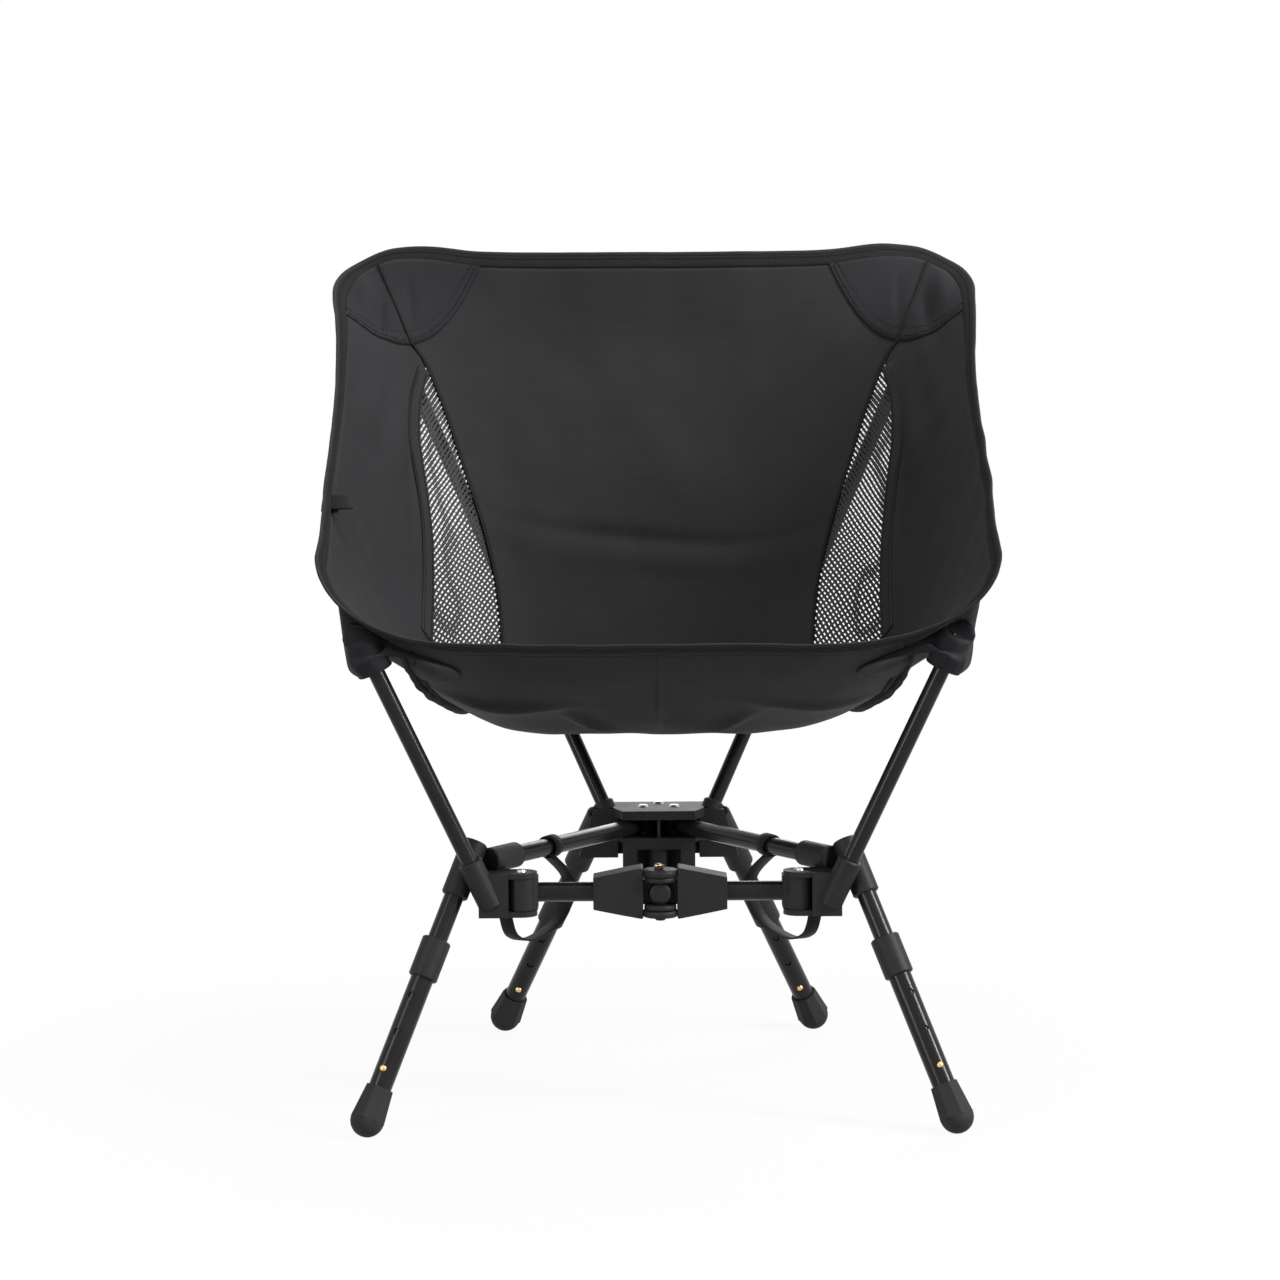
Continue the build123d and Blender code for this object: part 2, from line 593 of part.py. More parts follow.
def hinge_block_base(side):
    """The solid wedge of a hinge block, taller towards the middle of the bar."""
    back_plane = Plane(origin=(0, BAR_AXIS_Y + HINGE_DEPTH / 2, BAR_Z), x_dir=(1, 0, 0), z_dir=(0, -1, 0))
    with BuildSketch(back_plane) as outline:
        with BuildLine():
            Polyline(
                (HINGE_OUTER_X * side, -HINGE_OUTER_HALF_HEIGHT),
                (HINGE_INNER_X * side, -HINGE_INNER_HALF_HEIGHT),
                (HINGE_INNER_X * side, HINGE_INNER_HALF_HEIGHT),
                (HINGE_OUTER_X * side, HINGE_OUTER_HALF_HEIGHT),
                close=True,
            )
        make_face()
    extrude(outline.sketch, amount=HINGE_DEPTH)


def hinge_tube_bore(side):
    start = Vector(HINGE_OUTER_X * side, BAR_AXIS_Y, BAR_Z)
    round_bar(Plane(origin=start, z_dir=(-side, 0, 0)), BAR_TUBE_HOLD,
              BAR_TUBE_R + FIT_CLEARANCE, Mode.SUBTRACT)


LAP_HALF_HEIGHT = TONGUE_HALF_HEIGHT + LAP_CLEARANCE
LAP_BOX_X = 2 * HINGE_LAP_X
PRONG_HEIGHT = HINGE_INNER_HALF_HEIGHT - LAP_HALF_HEIGHT

with BuildPart() as centre_hinge_left:
    hinge_block_base(-1)
    with Locations((0, BAR_AXIS_Y, BAR_Z)):
        Box(LAP_BOX_X, 2 * HINGE_DEPTH, 2 * LAP_HALF_HEIGHT, mode=Mode.SUBTRACT)
    for prong_z in (BAR_Z + LAP_HALF_HEIGHT, BAR_Z - HINGE_INNER_HALF_HEIGHT):
        with BuildSketch(Plane.XY.offset(prong_z)):
            with Locations((0, BAR_PIVOT[1])):
                Circle(HINGE_EYE_R)
            with Locations((-HINGE_INNER_X / 2, BAR_PIVOT[1])):
                Rectangle(HINGE_INNER_X, 2 * HINGE_EYE_R - 4)
        extrude(amount=PRONG_HEIGHT)
    hinge_tube_bore(-1)
    round_bar(Plane((0, BAR_PIVOT[1], BAR_Z - HINGE_INNER_HALF_HEIGHT)), 2 * HINGE_INNER_HALF_HEIGHT,
              STUB_PIN_R + FIT_CLEARANCE, Mode.SUBTRACT)
finish(centre_hinge_left, "centre_hinge_left")

with BuildPart() as centre_hinge_right:
    hinge_block_base(1)
    for prong_z in (BAR_Z + LAP_HALF_HEIGHT, BAR_Z - LAP_HALF_HEIGHT):
        direction = 1 if prong_z > BAR_Z else -1
        with Locations((0, BAR_AXIS_Y, prong_z + direction * PRONG_HEIGHT)):
            Box(LAP_BOX_X, 2 * HINGE_DEPTH, 2 * PRONG_HEIGHT + 2 * LAP_CLEARANCE, mode=Mode.SUBTRACT)
    with BuildSketch(Plane.XY.offset(BAR_Z - TONGUE_HALF_HEIGHT)):
        tongue_front = BAR_PIVOT[1] - TONGUE_HALF_WIDTH
        tongue_back = BAR_AXIS_Y + HINGE_DEPTH / 2
        with Locations(((HINGE_INNER_X + 1 - TONGUE_HALF_WIDTH) / 2, (tongue_front + tongue_back) / 2)):
            Rectangle(HINGE_INNER_X + 1 + TONGUE_HALF_WIDTH, tongue_back - tongue_front)
    extrude(amount=2 * TONGUE_HALF_HEIGHT)
    button_bore = Plane(origin=(0, tongue_front, BAR_Z), z_dir=(0, 1, 0))
    bore_depth = LOCK_BUTTON_LENGTH - LOCK_BUTTON_PROUD + LOCK_BUTTON_TRAVEL + LOCK_BUTTON_CLEARANCE
    round_bar(button_bore, bore_depth, LOCK_BUTTON_R + LOCK_BUTTON_CLEARANCE, Mode.SUBTRACT)
    hinge_tube_bore(1)
finish(centre_hinge_right, "centre_hinge_right")

with BuildPart() as lock_button:
    round_bar(button_bore.offset(-LOCK_BUTTON_PROUD), LOCK_BUTTON_LENGTH, LOCK_BUTTON_R)
    chamfer(lock_button.faces().sort_by(Axis.Y)[0].edges(), length=0.8)
finish(lock_button, "lock_button")

with BuildPart() as hinge_pins:
    for direction in (1, -1):
        pin_plane = Plane(origin=(0, BAR_PIVOT[1], BAR_Z + direction * LAP_HALF_HEIGHT),
                          z_dir=(0, 0, direction))
        round_bar(pin_plane, PRONG_HEIGHT, STUB_PIN_R)
        with BuildSketch(pin_plane.offset(PRONG_HEIGHT)):
            Circle(RIVET_HEAD_R)
        extrude(amount=RIVET_HEAD_HEIGHT, taper=30)
finish(hinge_pins, "hinge_pins")


# ---- seat ------------------------------------------------------------------------------------
centre_line = Spline(*[(0, y, z) for y, z in SEAT_CENTRE_LINE])


def seat_point(u, v):
    """A point of the bucket seat: u from -1 to 1 across, v from 0 at the top hem to 1 in front."""
    middle = centre_line @ v
    back, front = Vector(*BACK_CORNER), Vector(*FRONT_CORNER)
    edge = back + (front - back) * v
    power = BUCKET_POWER_BACK + (BUCKET_POWER_FRONT - BUCKET_POWER_BACK) * v ** BUCKET_POWER_GROWTH
    rise = abs(u) ** power
    return Vector(u * edge.X, middle.Y + (edge.Y - middle.Y) * rise, middle.Z + (edge.Z - middle.Z) * rise)


def seat_normal(u, v):
    """The direction square to the cloth at a point of the seat."""
    step = 0.002
    across = seat_point(u + step, v) - seat_point(u - step, v)
    low, high = max(v - step, 0), min(v + step, 1)
    return across.cross(seat_point(u, high) - seat_point(u, low)).normalized()


def cloth_panel(name, u_low, u_high, v_low, v_high, across, down):
    """A panel of seat cloth between two seams; u_low and u_high give the seams at each v."""
    grids = {CLOTH / 2: [], -CLOTH / 2: []}
    for row in range(down + 1):
        v = v_low + (v_high - v_low) * row / down
        start, end = u_low(v) + SEAM_GAP_U, u_high(v) - SEAM_GAP_U
        stations = [start + (end - start) * column / across for column in range(across + 1)]
        for offset_distance, grid in grids.items():
            grid.append([seat_point(u, v) + seat_normal(u, v) * offset_distance for u in stations])
    inside, outside = [Face.make_surface_from_array_of_points(grid) for grid in grids.values()]
    rims = [Face.make_surface_from_curves(*pair) for pair in zip(inside.edges(), outside.edges())]
    cloth = Solid(Shell([inside, outside, *rims]))
    with BuildPart() as panel:
        add(cloth)
    finish(panel, name)


def seam_share(v):
    """How far down the mesh a height on the seat is, from 0 at its tip to 1 at the seat seam."""
    return min(max((v - MESH_TOP_V) / (BACK_SEAM_V - MESH_TOP_V), 0), 1)


def seam_above_mesh(v):
    """How much further out the seam lies, over the mesh's tip, where the back meets the wing."""
    return (SEAM_TOP_U - MESH_TOP_U) * max(1 - v / MESH_TOP_V, 0)


def mesh_inner(v):
    down = seam_share(v) ** 0.85
    return MESH_TOP_U + (MESH_INNER_U - MESH_TOP_U) * down + seam_above_mesh(v)


def mesh_outer(v):
    down = seam_share(v)
    widest = MESH_BULGE_U * sin(down * radians(180))
    return MESH_TOP_U + MESH_TIP_U + (MESH_OUTER_U - MESH_TOP_U) * down + widest + seam_above_mesh(v)


def middle_u(v):
    return 0


def edge_u(v):
    return 1


def mirrored(seam):
    """The same seam on the other half of the seat."""
    return lambda v: -seam(v)


def side_panel(name, side, inner, outer, v_low, v_high, across, down):
    """A panel between two seams of the right half, or their mirror images on the left half."""
    u_low, u_high = (inner, outer) if side > 0 else (mirrored(outer), mirrored(inner))
    cloth_panel(name, u_low, u_high, v_low, v_high, across, down)


BACK_PANEL_END_V = BACK_SEAM_V - SEAM_GAP_V
SEAT_PANEL_START_V = BACK_SEAM_V + SEAM_GAP_V
cloth_panel("back_panel", mirrored(mesh_inner), mesh_inner, 0, BACK_PANEL_END_V, 12, 48)
for name, side in SIDES:
    side_panel(f"mesh_panel_{name}", side, mesh_inner, mesh_outer, MESH_TOP_V, BACK_PANEL_END_V, 4, 16)
    side_panel(f"seat_panel_{name}", side, middle_u, mesh_outer, SEAT_PANEL_START_V, 1, 8, 12)
    side_panel(f"side_wing_{name}", side, mesh_outer, edge_u, 0, 1, 4, 60)

for name, side in SIDES:
    corner_hub_piece(name, side)
    side_arm_piece(name, side)
    strap_piece(name, side)
    front_bar_pieces(name, side)
    rear_foot = foot_centre(REAR_FOOT, side)
    rear_top = at(REAR_LEG_TOP, side)
    rear_length = (point_at_height(rear_foot, rear_top, HUB_LEG_TUBE_TOP) - rear_foot).length
    leg_pieces(f"rear_{name}", rear_foot, rear_top, rear_length, Vector(0, -1, 0))
    pole_foot, pole_tip = rear_pole_line(side)
    tube_piece(f"rear_pole_{name}", along(pole_foot, pole_tip, 0), (pole_tip - pole_foot).length, REAR_POLE_R)
    pocket_piece(f"back_pocket_{name}", pole_tip, pole_foot, REAR_POLE_R,
                 BACK_POCKET_LENGTH)
    pocket_piece(f"front_pocket_{name}", at(FRONT_POLE_TIP, side), at(FRONT_POLE_FOOT, side),
                 FRONT_POLE_R, FRONT_POCKET_LENGTH)
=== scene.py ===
from functools import partialmethod
from math import cos, pi, radians, sin, sqrt

import bpy
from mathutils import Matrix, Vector, noise


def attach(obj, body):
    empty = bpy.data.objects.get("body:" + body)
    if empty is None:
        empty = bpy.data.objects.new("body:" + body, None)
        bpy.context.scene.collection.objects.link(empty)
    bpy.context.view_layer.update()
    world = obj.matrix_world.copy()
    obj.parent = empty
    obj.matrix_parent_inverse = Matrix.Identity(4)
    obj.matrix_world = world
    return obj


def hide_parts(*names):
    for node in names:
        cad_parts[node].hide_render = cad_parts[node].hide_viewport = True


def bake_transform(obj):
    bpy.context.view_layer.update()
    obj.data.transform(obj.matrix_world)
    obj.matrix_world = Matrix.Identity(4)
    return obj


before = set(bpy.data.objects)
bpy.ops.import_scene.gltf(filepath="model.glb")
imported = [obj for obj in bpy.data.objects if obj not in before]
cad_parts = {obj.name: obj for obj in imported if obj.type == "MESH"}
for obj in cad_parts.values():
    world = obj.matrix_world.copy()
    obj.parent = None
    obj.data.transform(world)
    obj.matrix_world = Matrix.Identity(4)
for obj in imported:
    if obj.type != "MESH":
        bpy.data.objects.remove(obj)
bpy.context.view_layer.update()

SIDES = (("left", -1), ("right", 1))
X, Y, Z = Vector((1, 0, 0)), Vector((0, 1, 0)), Vector((0, 0, 1))


# ---- camera, floor and light ----
CAMERA_PLACE = (-0.012, -2.584, 0.5945)
CAMERA_TILT_DOWN, CAMERA_ROLL, CAMERA_TURN, CAMERA_VIEW = 5.19, 0.38, 0.022, 22.63
FLOOR_REACH = 40


def new_object(name, data):
    made = bpy.data.objects.new(name, data)
    bpy.context.scene.collection.objects.link(made)
    return made


def make_camera():
    data = bpy.data.cameras.new("camera")
    camera = new_object("camera", data)
    camera.location = CAMERA_PLACE
    camera.rotation_euler = (radians(90 - CAMERA_TILT_DOWN), radians(CAMERA_ROLL), radians(CAMERA_TURN))
    data.angle = radians(CAMERA_VIEW)
    data.dof.use_dof = False
    bpy.context.scene.camera = camera


def make_floor():
    mesh = bpy.data.meshes.new("floor")
    corners = [(FLOOR_REACH * x, FLOOR_REACH * y, 0) for x, y in ((-1, -1), (1, -1), (1, 1), (-1, 1))]
    mesh.from_pydata(corners, [], [(0, 1, 2, 3)])
    floor = new_object("floor", mesh)
    return floor


def make_lamp(name, place, aim, size, power):
    data = bpy.data.lights.new(name, "AREA")
    data.shape = "RECTANGLE"
    data.size, data.size_y = size
    data.energy = power
    lamp = new_object(name, data)
    lamp.location = place
    lamp.rotation_euler = (Vector(aim) - Vector(place)).to_track_quat("-Z", "Y").to_euler()


# ---- shader maths ----
class Amount:
    """A number that changes over a surface. Arithmetic on it adds the Math nodes."""

    def __init__(self, finish, socket):
        self.finish = finish
        self.socket = socket

    def maths(self, operation, *others):
        return self.finish.node("Math", {"operation": operation}, dict(enumerate((self, *others))))

    def __rsub__(self, other):
        return self.finish.node("Math", {"operation": "SUBTRACT"}, {0: other, 1: self})

    def ease(self, low, high):
        """0 below low, 1 above high, with a smooth step between them."""
        settings = {"interpolation_type": "SMOOTHSTEP"}
        return self.finish.node("MapRange", settings, {0: self, 1: low, 2: high, 3: 0.0, 4: 1.0})

    __add__ = __radd__ = partialmethod(maths, "ADD")
    __mul__ = __rmul__ = partialmethod(maths, "MULTIPLY")
    __sub__ = partialmethod(maths, "SUBTRACT")
    __truediv__ = partialmethod(maths, "DIVIDE")
    __pow__ = partialmethod(maths, "POWER")
    sine = partialmethod(maths, "SINE")
    fraction = partialmethod(maths, "FRACT")
    absolute = partialmethod(maths, "ABSOLUTE")
    above = partialmethod(maths, "GREATER_THAN")
    larger = partialmethod(maths, "MAXIMUM")


class Finish:
    """A material while its nodes are being made."""

    def __init__(self, name, **shader):
        self.material = bpy.data.materials.new(name)
        self.material.use_nodes = True
        self.nodes = self.material.node_tree.nodes
        self.links = self.material.node_tree.links
        self.shader = self.nodes["Principled BSDF"]
        self.set(**shader)

    def set(self, **inputs):
        """Sets the shader's sockets: base_color=... is Base Color, roughness=... is Roughness."""
        for name, value in inputs.items():
            self.put(self.shader.inputs[name.replace("_", " ").title().replace("Ior", "IOR")], value)
        return self

    def put(self, socket, value):
        if isinstance(value, Amount):
            self.links.new(value.socket, socket)
        elif socket.type == "RGBA" and len(value) == 3:
            socket.default_value = (*value, 1.0)
        else:
            socket.default_value = value

    def node(self, kind, settings=None, inputs=None, output=0):
        made = self.nodes.new("ShaderNode" + kind)
        for name, value in (settings or {}).items():
            setattr(made, name, value)
        for name, value in (inputs or {}).items():
            self.put(made.inputs[name], value)
        return Amount(self, made.outputs[output])

    def place(self):
        """Where a point is on the object, in metres."""
        return self.node("TexCoord", output="Object")

    def facing(self):
        """The way the surface faces on the object."""
        return self.node("TexCoord", output="Normal")

    def cloth_place(self):
        """Where a point is on the flat cloth, in metres."""
        return self.node("UVMap", {"uv_map": "cut"})

    def axes(self, vector):
        made = self.node("SeparateXYZ", None, {0: vector})
        return [Amount(self, output) for output in made.socket.node.outputs]

    def noise(self, scale, detail=2.0, place=None, stretch=None, roughness=0.5):
        place = place or self.place()
        if stretch:
            place = self.node("VectorMath", {"operation": "MULTIPLY"}, {0: place, 1: stretch})
        inputs = {"Vector": place, "Scale": scale, "Detail": detail, "Roughness": roughness}
        return self.node("TexNoise", None, inputs)

    def blend(self, share, low, high):
        """One colour turning into another."""
        return self.node("Mix", {"data_type": "RGBA"}, {0: share, 6: low, 7: high}, 2)

    def bump(self, height, distance, strength=1.0):
        return self.node("Bump", None, {"Height": height, "Distance": distance, "Strength": strength})


# ---- finishes ----
def anodised():
    """Black anodised tube: satin, with faint draw lines and a little handling wear."""
    finish = Finish("anodised", ior=1.5, specular_ior_level=0.17)
    smudge = finish.noise(38, 4)
    grain = finish.noise(900, 2)
    finish.set(base_color=finish.blend(smudge, (0.0055, 0.0055, 0.006), (0.0120, 0.0120, 0.0128)),
               roughness=0.15 + smudge * 0.12 + grain * 0.05,
               normal=finish.bump(grain, 0.00004, 0.35))
    return finish.material


def moulded(name="moulded", dark=(0.0088, 0.0090, 0.0098), light=(0.0150, 0.0154, 0.0166)):
    """Black moulded nylon with a fine spark grain."""
    finish = Finish(name, ior=1.47, specular_ior_level=0.18)
    grain = finish.noise(2600, 3)
    broad = finish.noise(45, 3)
    finish.set(base_color=finish.blend(broad, dark, light),
               roughness=0.46 + broad * 0.14,
               normal=finish.bump(grain + broad * 0.5, 0.00008, 0.5))
    return finish.material


def rubber():
    finish = Finish("rubber", ior=1.5, specular_ior_level=0.2)
    grain = finish.noise(1800, 3)
    dust = finish.noise(60, 4)
    finish.set(base_color=finish.blend(dust, (0.011, 0.011, 0.011), (0.022, 0.022, 0.021)),
               roughness=0.68 + dust * 0.16,
               normal=finish.bump(grain, 0.0001, 0.5))
    return finish.material


def bright(name, colour, roughness):
    """Small turned metal parts with fine scratches."""
    finish = Finish(name, metallic=1.0)
    scratch = finish.noise(700, 3, stretch=(1, 1, 8))
    finish.set(base_color=finish.blend(scratch, [c * 0.75 for c in colour], colour),
               roughness=roughness + scratch * 0.15,
               normal=finish.bump(scratch, 0.00003, 0.4))
    return finish.material


WEAVE_PITCH = 0.00062
RIB_DIRECTION, RIB_PITCH = (0.839, 0.545), 0.0035
TIE_DIRECTION, TIE_PITCH = (-0.643, 0.766), 0.0034
HALF_CELL = 0.5
STRAND_SOFTNESS = 0.05
RIB_GAP, RIB_GAP_RIGHT, RIB_SLACK = 0.205, 0.025, 0.13
TIE_GAP, TIE_GATHER = 0.42, 0.14


def weave_height(finish, place, pitch):
    """The height of a plain weave: warp and weft threads pass over each other in turn."""
    along, across, _ = finish.axes(place)
    warp = (along * (pi / pitch)).sine()
    weft = (across * (pi / pitch)).sine()
    over = (warp * weft).above(0.0)
    return warp.absolute() * over + weft.absolute() * (1 - over)


def oxford(name="oxford", dark=(0.0060, 0.0062, 0.0067), light=(0.0165, 0.0169, 0.0181)):
    """Coated polyester cloth: a fine plain weave with soft blotches and a low sheen, and painted light from
    above: cloth that faces up is coloured lighter.
    """
    finish = Finish(name, ior=1.45, specular_ior_level=0.14, sheen_weight=0.04, sheen_roughness=0.5)
    place = finish.cloth_place()
    thread = weave_height(finish, place, WEAVE_PITCH)
    blotch = finish.noise(9, 4, roughness=0.6)
    slub = finish.noise(420, 2, place=place, stretch=(0.06, 1, 1))
    # painted light from above: the colour is made lighter where the cloth faces up, standing in for the
    # light falling on it
    _, _, upward = finish.axes(finish.facing())
    painted_top_light = upward.ease(-0.35, 0.75)
    tone_and_painted_light = (blotch * 0.45 + slub * 0.25 + thread * 0.10 + painted_top_light * 0.34).ease(0.25, 0.85)
    finish.set(base_color=finish.blend(tone_and_painted_light, dark, light),
               roughness=0.56 + slub * 0.12 + blotch * 0.08,
               normal=finish.bump(thread + slub * 0.6, 0.00012, 0.55))
    return finish.material


def ribbed_tape(name, pitch=0.0012):
    """Narrow woven tape with ribs across its width."""
    finish = Finish(name, ior=1.45, specular_ior_level=0.14, sheen_weight=0.03, sheen_roughness=0.4)
    place = finish.cloth_place()
    along, across, _ = finish.axes(place)
    rib = (across * (2 * pi / pitch)).sine() * 0.5 + 0.5
    fleck = finish.noise(500, 3, place=place)
    finish.set(base_color=finish.blend(fleck, (0.0045, 0.0045, 0.0048), (0.0105, 0.0105, 0.0110)),
               roughness=0.6 + fleck * 0.15,
               normal=finish.bump(rib + fleck * 0.4, 0.00018, 0.6))
    return finish.material


def open_mesh():
    """Knitted mesh: slanting ribs with finer threads across them, open between."""
    finish = Finish("open_mesh", ior=1.45, specular_ior_level=0.25)
    x, _, z = finish.axes(finish.place())
    outward = x.absolute()
    drift = finish.noise(11, 2) * 3.0
    along_ribs = (outward * RIB_DIRECTION[0] + z * RIB_DIRECTION[1]) / RIB_PITCH + drift
    along_ties = (z * TIE_DIRECTION[1] + outward * TIE_DIRECTION[0]) / TIE_PITCH + drift * 0.5
    ribs = (along_ribs.fraction() - HALF_CELL).absolute()
    ties = (along_ties.fraction() - HALF_CELL).absolute()
    # the cloth bunches towards the seat's middle and along a few slack folds, which closes it up
    inner = (outward * -1.9 - z + 0.79).ease(-0.02, 0.08)
    slack = (finish.noise(16, 2, stretch=(1.0, 1.0, 0.35)) - 0.5).absolute().ease(0.045, 0.0)
    right_half = x.ease(-0.01, 0.01)
    rib_gap = RIB_GAP - slack * RIB_SLACK - right_half * RIB_GAP_RIGHT
    tie_gap = TIE_GAP - inner * TIE_GATHER
    rib = (ribs - rib_gap).ease(-STRAND_SOFTNESS, STRAND_SOFTNESS)
    tie = (ties - tie_gap).ease(-STRAND_SOFTNESS, STRAND_SOFTNESS)
    finish.set(base_color=(0.012, 0.012, 0.013), roughness=0.6, alpha=rib.larger(tie),
               normal=finish.bump(ribs.larger(ties), 0.0004, 0.6))
    return finish.material


def thread(name, colour):
    finish = Finish(name, ior=1.45, specular_ior_level=0.15, base_color=colour)
    twist = finish.noise(3000, 1)
    finish.set(roughness=0.5 + twist * 0.2)
    return finish.material


ANODISED = anodised()
MOULDED = moulded()
RUBBER = rubber()
BRASS = bright("brass", (0.78, 0.52, 0.22), 0.22)
STEEL = bright("steel", (0.70, 0.70, 0.72), 0.20)
OXFORD = oxford()
TAPE = ribbed_tape("binding_tape")
WEBBING = ribbed_tape("webbing", pitch=0.0016)
MESH = open_mesh()
THREAD = thread("thread", (0.004, 0.004, 0.0045))
PALE_THREAD = thread("pale_thread", (0.09, 0.088, 0.085))
POCKET_CLOTH = oxford("pocket_cloth", (0.0060, 0.0061, 0.0078), (0.0115, 0.0118, 0.0145))
DARK = moulded("shadow_black", (0.0020, 0.0020, 0.0022), (0.0045, 0.0045, 0.0048))
PATCH_CLOTH = oxford("patch_cloth", (0.0065, 0.0066, 0.0074), (0.0125, 0.0128, 0.0142))


# ---- making meshes ----
def new_piece(name, points, faces, material, uvs=None, smooth=True):
    """A mesh object. uvs gives each point's place on the flat cloth, in metres."""
    mesh = bpy.data.meshes.new(name)
    mesh.from_pydata([tuple(p) for p in points], [], faces)
    if uvs:
        layer = mesh.uv_layers.new(name="cut")
        for loop in mesh.loops:
            layer.data[loop.index].uv = uvs[loop.vertex_index]
    for face in mesh.polygons:
        face.use_smooth = smooth
    mesh.materials.append(material)
    return new_object(name, mesh)


def grid_faces(rows, columns, closed=False):
    """Quads that join the points of a grid, listed row by row; closed joins each row's ends."""
    faces = []
    for row in range(rows - 1):
        for column in range(columns if closed else columns - 1):
            beside = (column + 1) % columns
            faces.append((row * columns + column, row * columns + beside,
                          (row + 1) * columns + beside, (row + 1) * columns + column))
    return faces


def capped_faces(rings, around):
    """The faces that join rings of points, with a cap on each end."""
    last = (rings - 1) * around
    caps = [tuple(range(around))[::-1], tuple(range(last, last + around))]
    return grid_faces(rings, around, closed=True) + caps


def circle(centre, side, up, radius, around, extra=0):
    """Points round a circle; extra repeats the first ones at its end."""
    turns = [2 * pi * step / around for step in range(around + extra)]
    return [centre + side * (radius * cos(turn)) + up * (radius * sin(turn)) for turn in turns]


def swept(name, path, ring, ring_us, material):
    """A solid along a path. ring gives its outline at a point; ring_us gives the outline's uv places."""
    points, uvs, length = [], [], 0.0
    for index, point in enumerate(path):
        before, after = path[max(index - 1, 0)], path[min(index + 1, len(path) - 1)]
        length += (point - before).length
        points += ring(point, (after - before).normalized())
        uvs += [(across, length) for across in ring_us]
    return new_piece(name, points, capped_faces(len(path), len(ring_us)), material, uvs)


def tube(name, path, radius, material, around=8):
    """A round thread or cord through the points of a path."""
    def ring(point, along):
        side = along.orthogonal().normalized()
        return circle(point, side, along.cross(side), radius, around)

    return swept(name, path, ring, [radius * 2 * pi * step / around for step in range(around)], material)


# ---- the seat's shape ----
CENTRE_LINE = ((0.188, 0.665), (0.167, 0.562), (0.141, 0.462), (0.112, 0.372), (0.074, 0.310),
               (0.018, 0.283), (-0.060, 0.300), (-0.125, 0.335), (-0.165, 0.364))
BACK_CORNER = Vector((0.2615, 0.194, 0.671))
FRONT_CORNER = Vector((0.2535, -0.168, 0.424))
POWER_BACK, POWER_FRONT, POWER_GROWTH = 3.0, 7.0, 2.5
BACK_SEAM_V = 0.615
# each seam as (v, u) points, from the top hem down
SIDE_SEAM = ((0.0, 0.908), (0.08, 0.856), (0.15, 0.802), (0.172, 0.762), (0.185, 0.748))
MESH_INNER = ((0.185, 0.745), (0.25, 0.684), (0.32, 0.628), (0.395, 0.565), (0.47, 0.522), (0.615, 0.497))
MESH_OUTER = ((0.185, 0.751), (0.25, 0.776), (0.32, 0.779), (0.40, 0.756), (0.48, 0.739), (0.615, 0.735),
              (0.80, 0.735), (1.0, 0.735))
MESH_TOP_V = MESH_INNER[0][0]
PATCH_START_U, PATCH_END_V, PATCH_POWER = 0.575, 0.183, 2.6
BACK_ROUND_U, BACK_ROUND_V = 0.16, 0.14
FRONT_ROUND_U, FRONT_ROUND_V = 0.05, 0.03
UNDER_SEAM = ((0.58, 0.500), (0.68, 0.595), (0.78, 0.675), (0.90, 0.740), (1.0, 0.770))
SIDE_BOW_U, SIDE_BOW_V, SIDE_BOW_WIDTH = 0.008, 0.42, 0.16
CLOTH, NETTING = 0.0008, 0.0003
SEAM_SEARCH_STEPS = 2000


def curve_at(points, place):
    """A point on a smooth curve through points; place is 0 at the first, 1 at the second and so on."""
    leg = min(int(place), len(points) - 2)
    t = place - leg
    p0, p1 = points[max(leg - 1, 0)], points[leg]
    p2, p3 = points[leg + 1], points[min(leg + 2, len(points) - 1)]
    return 0.5 * ((2 * p1) + (p2 - p0) * t + (2 * p0 - 5 * p1 + 4 * p2 - p3) * t * t
                  + (3 * p1 - p0 - 3 * p2 + p3) * t ** 3)


def along_curve(points, samples=240, steps=40):
    """A smooth curve through points, returned as places evenly spaced by length."""
    dense = [curve_at(points, step / steps) for step in range((len(points) - 1) * steps)]
    dense.append(points[-1])
    travelled = [0.0]
    for a, b in zip(dense, dense[1:]):
        travelled.append(travelled[-1] + (b - a).length)
    even, reach = [], 0
    for sample in range(samples + 1):
        target = travelled[-1] * sample / samples
        while reach < len(dense) - 2 and travelled[reach + 1] < target:
            reach += 1
        gap = travelled[reach + 1] - travelled[reach]
        even.append(dense[reach].lerp(dense[reach + 1], (target - travelled[reach]) / gap))
    return even, travelled[-1]


centre_points, SEAT_LENGTH = along_curve([Vector((0, y, z)) for y, z in CENTRE_LINE])


def centre_at(v):
    place = min(max(v, 0), 1) * (len(centre_points) - 1)
    index = min(int(place), len(centre_points) - 2)
    return centre_points[index].lerp(centre_points[index + 1], place - index)


def bare_point(u, v):
    """The seat's smooth shape, without folds: u runs across from -1 to 1, v from back to front."""
    middle = centre_at(v)
    edge = BACK_CORNER.lerp(FRONT_CORNER, v)
    rise = abs(u) ** (POWER_BACK + (POWER_FRONT - POWER_BACK) * max(v, 0) ** POWER_GROWTH)
    return Vector((u * edge.x, middle.y + (edge.y - middle.y) * rise,
                   middle.z + (edge.z - middle.z) * rise))


def seat_normal(u, v):
    """Out of the cloth, towards the sitter."""
    step = 0.004
    v = min(max(v, step), 1 - step)
    across = bare_point(u + step, v) - bare_point(u - step, v)
    down = bare_point(u, v + step) - bare_point(u, v - step)
    return down.cross(across).normalized()


def bell(value, middle, width):
    """A smooth bump of height 1."""
    return 2.718 ** (-((value - middle) / width) ** 2)


def crease(height, v, down, side, across):
    """A crease's height at a place; down and across are its (middle, width) in v and in side."""
    return height * bell(v, *down) * bell(side, *across)


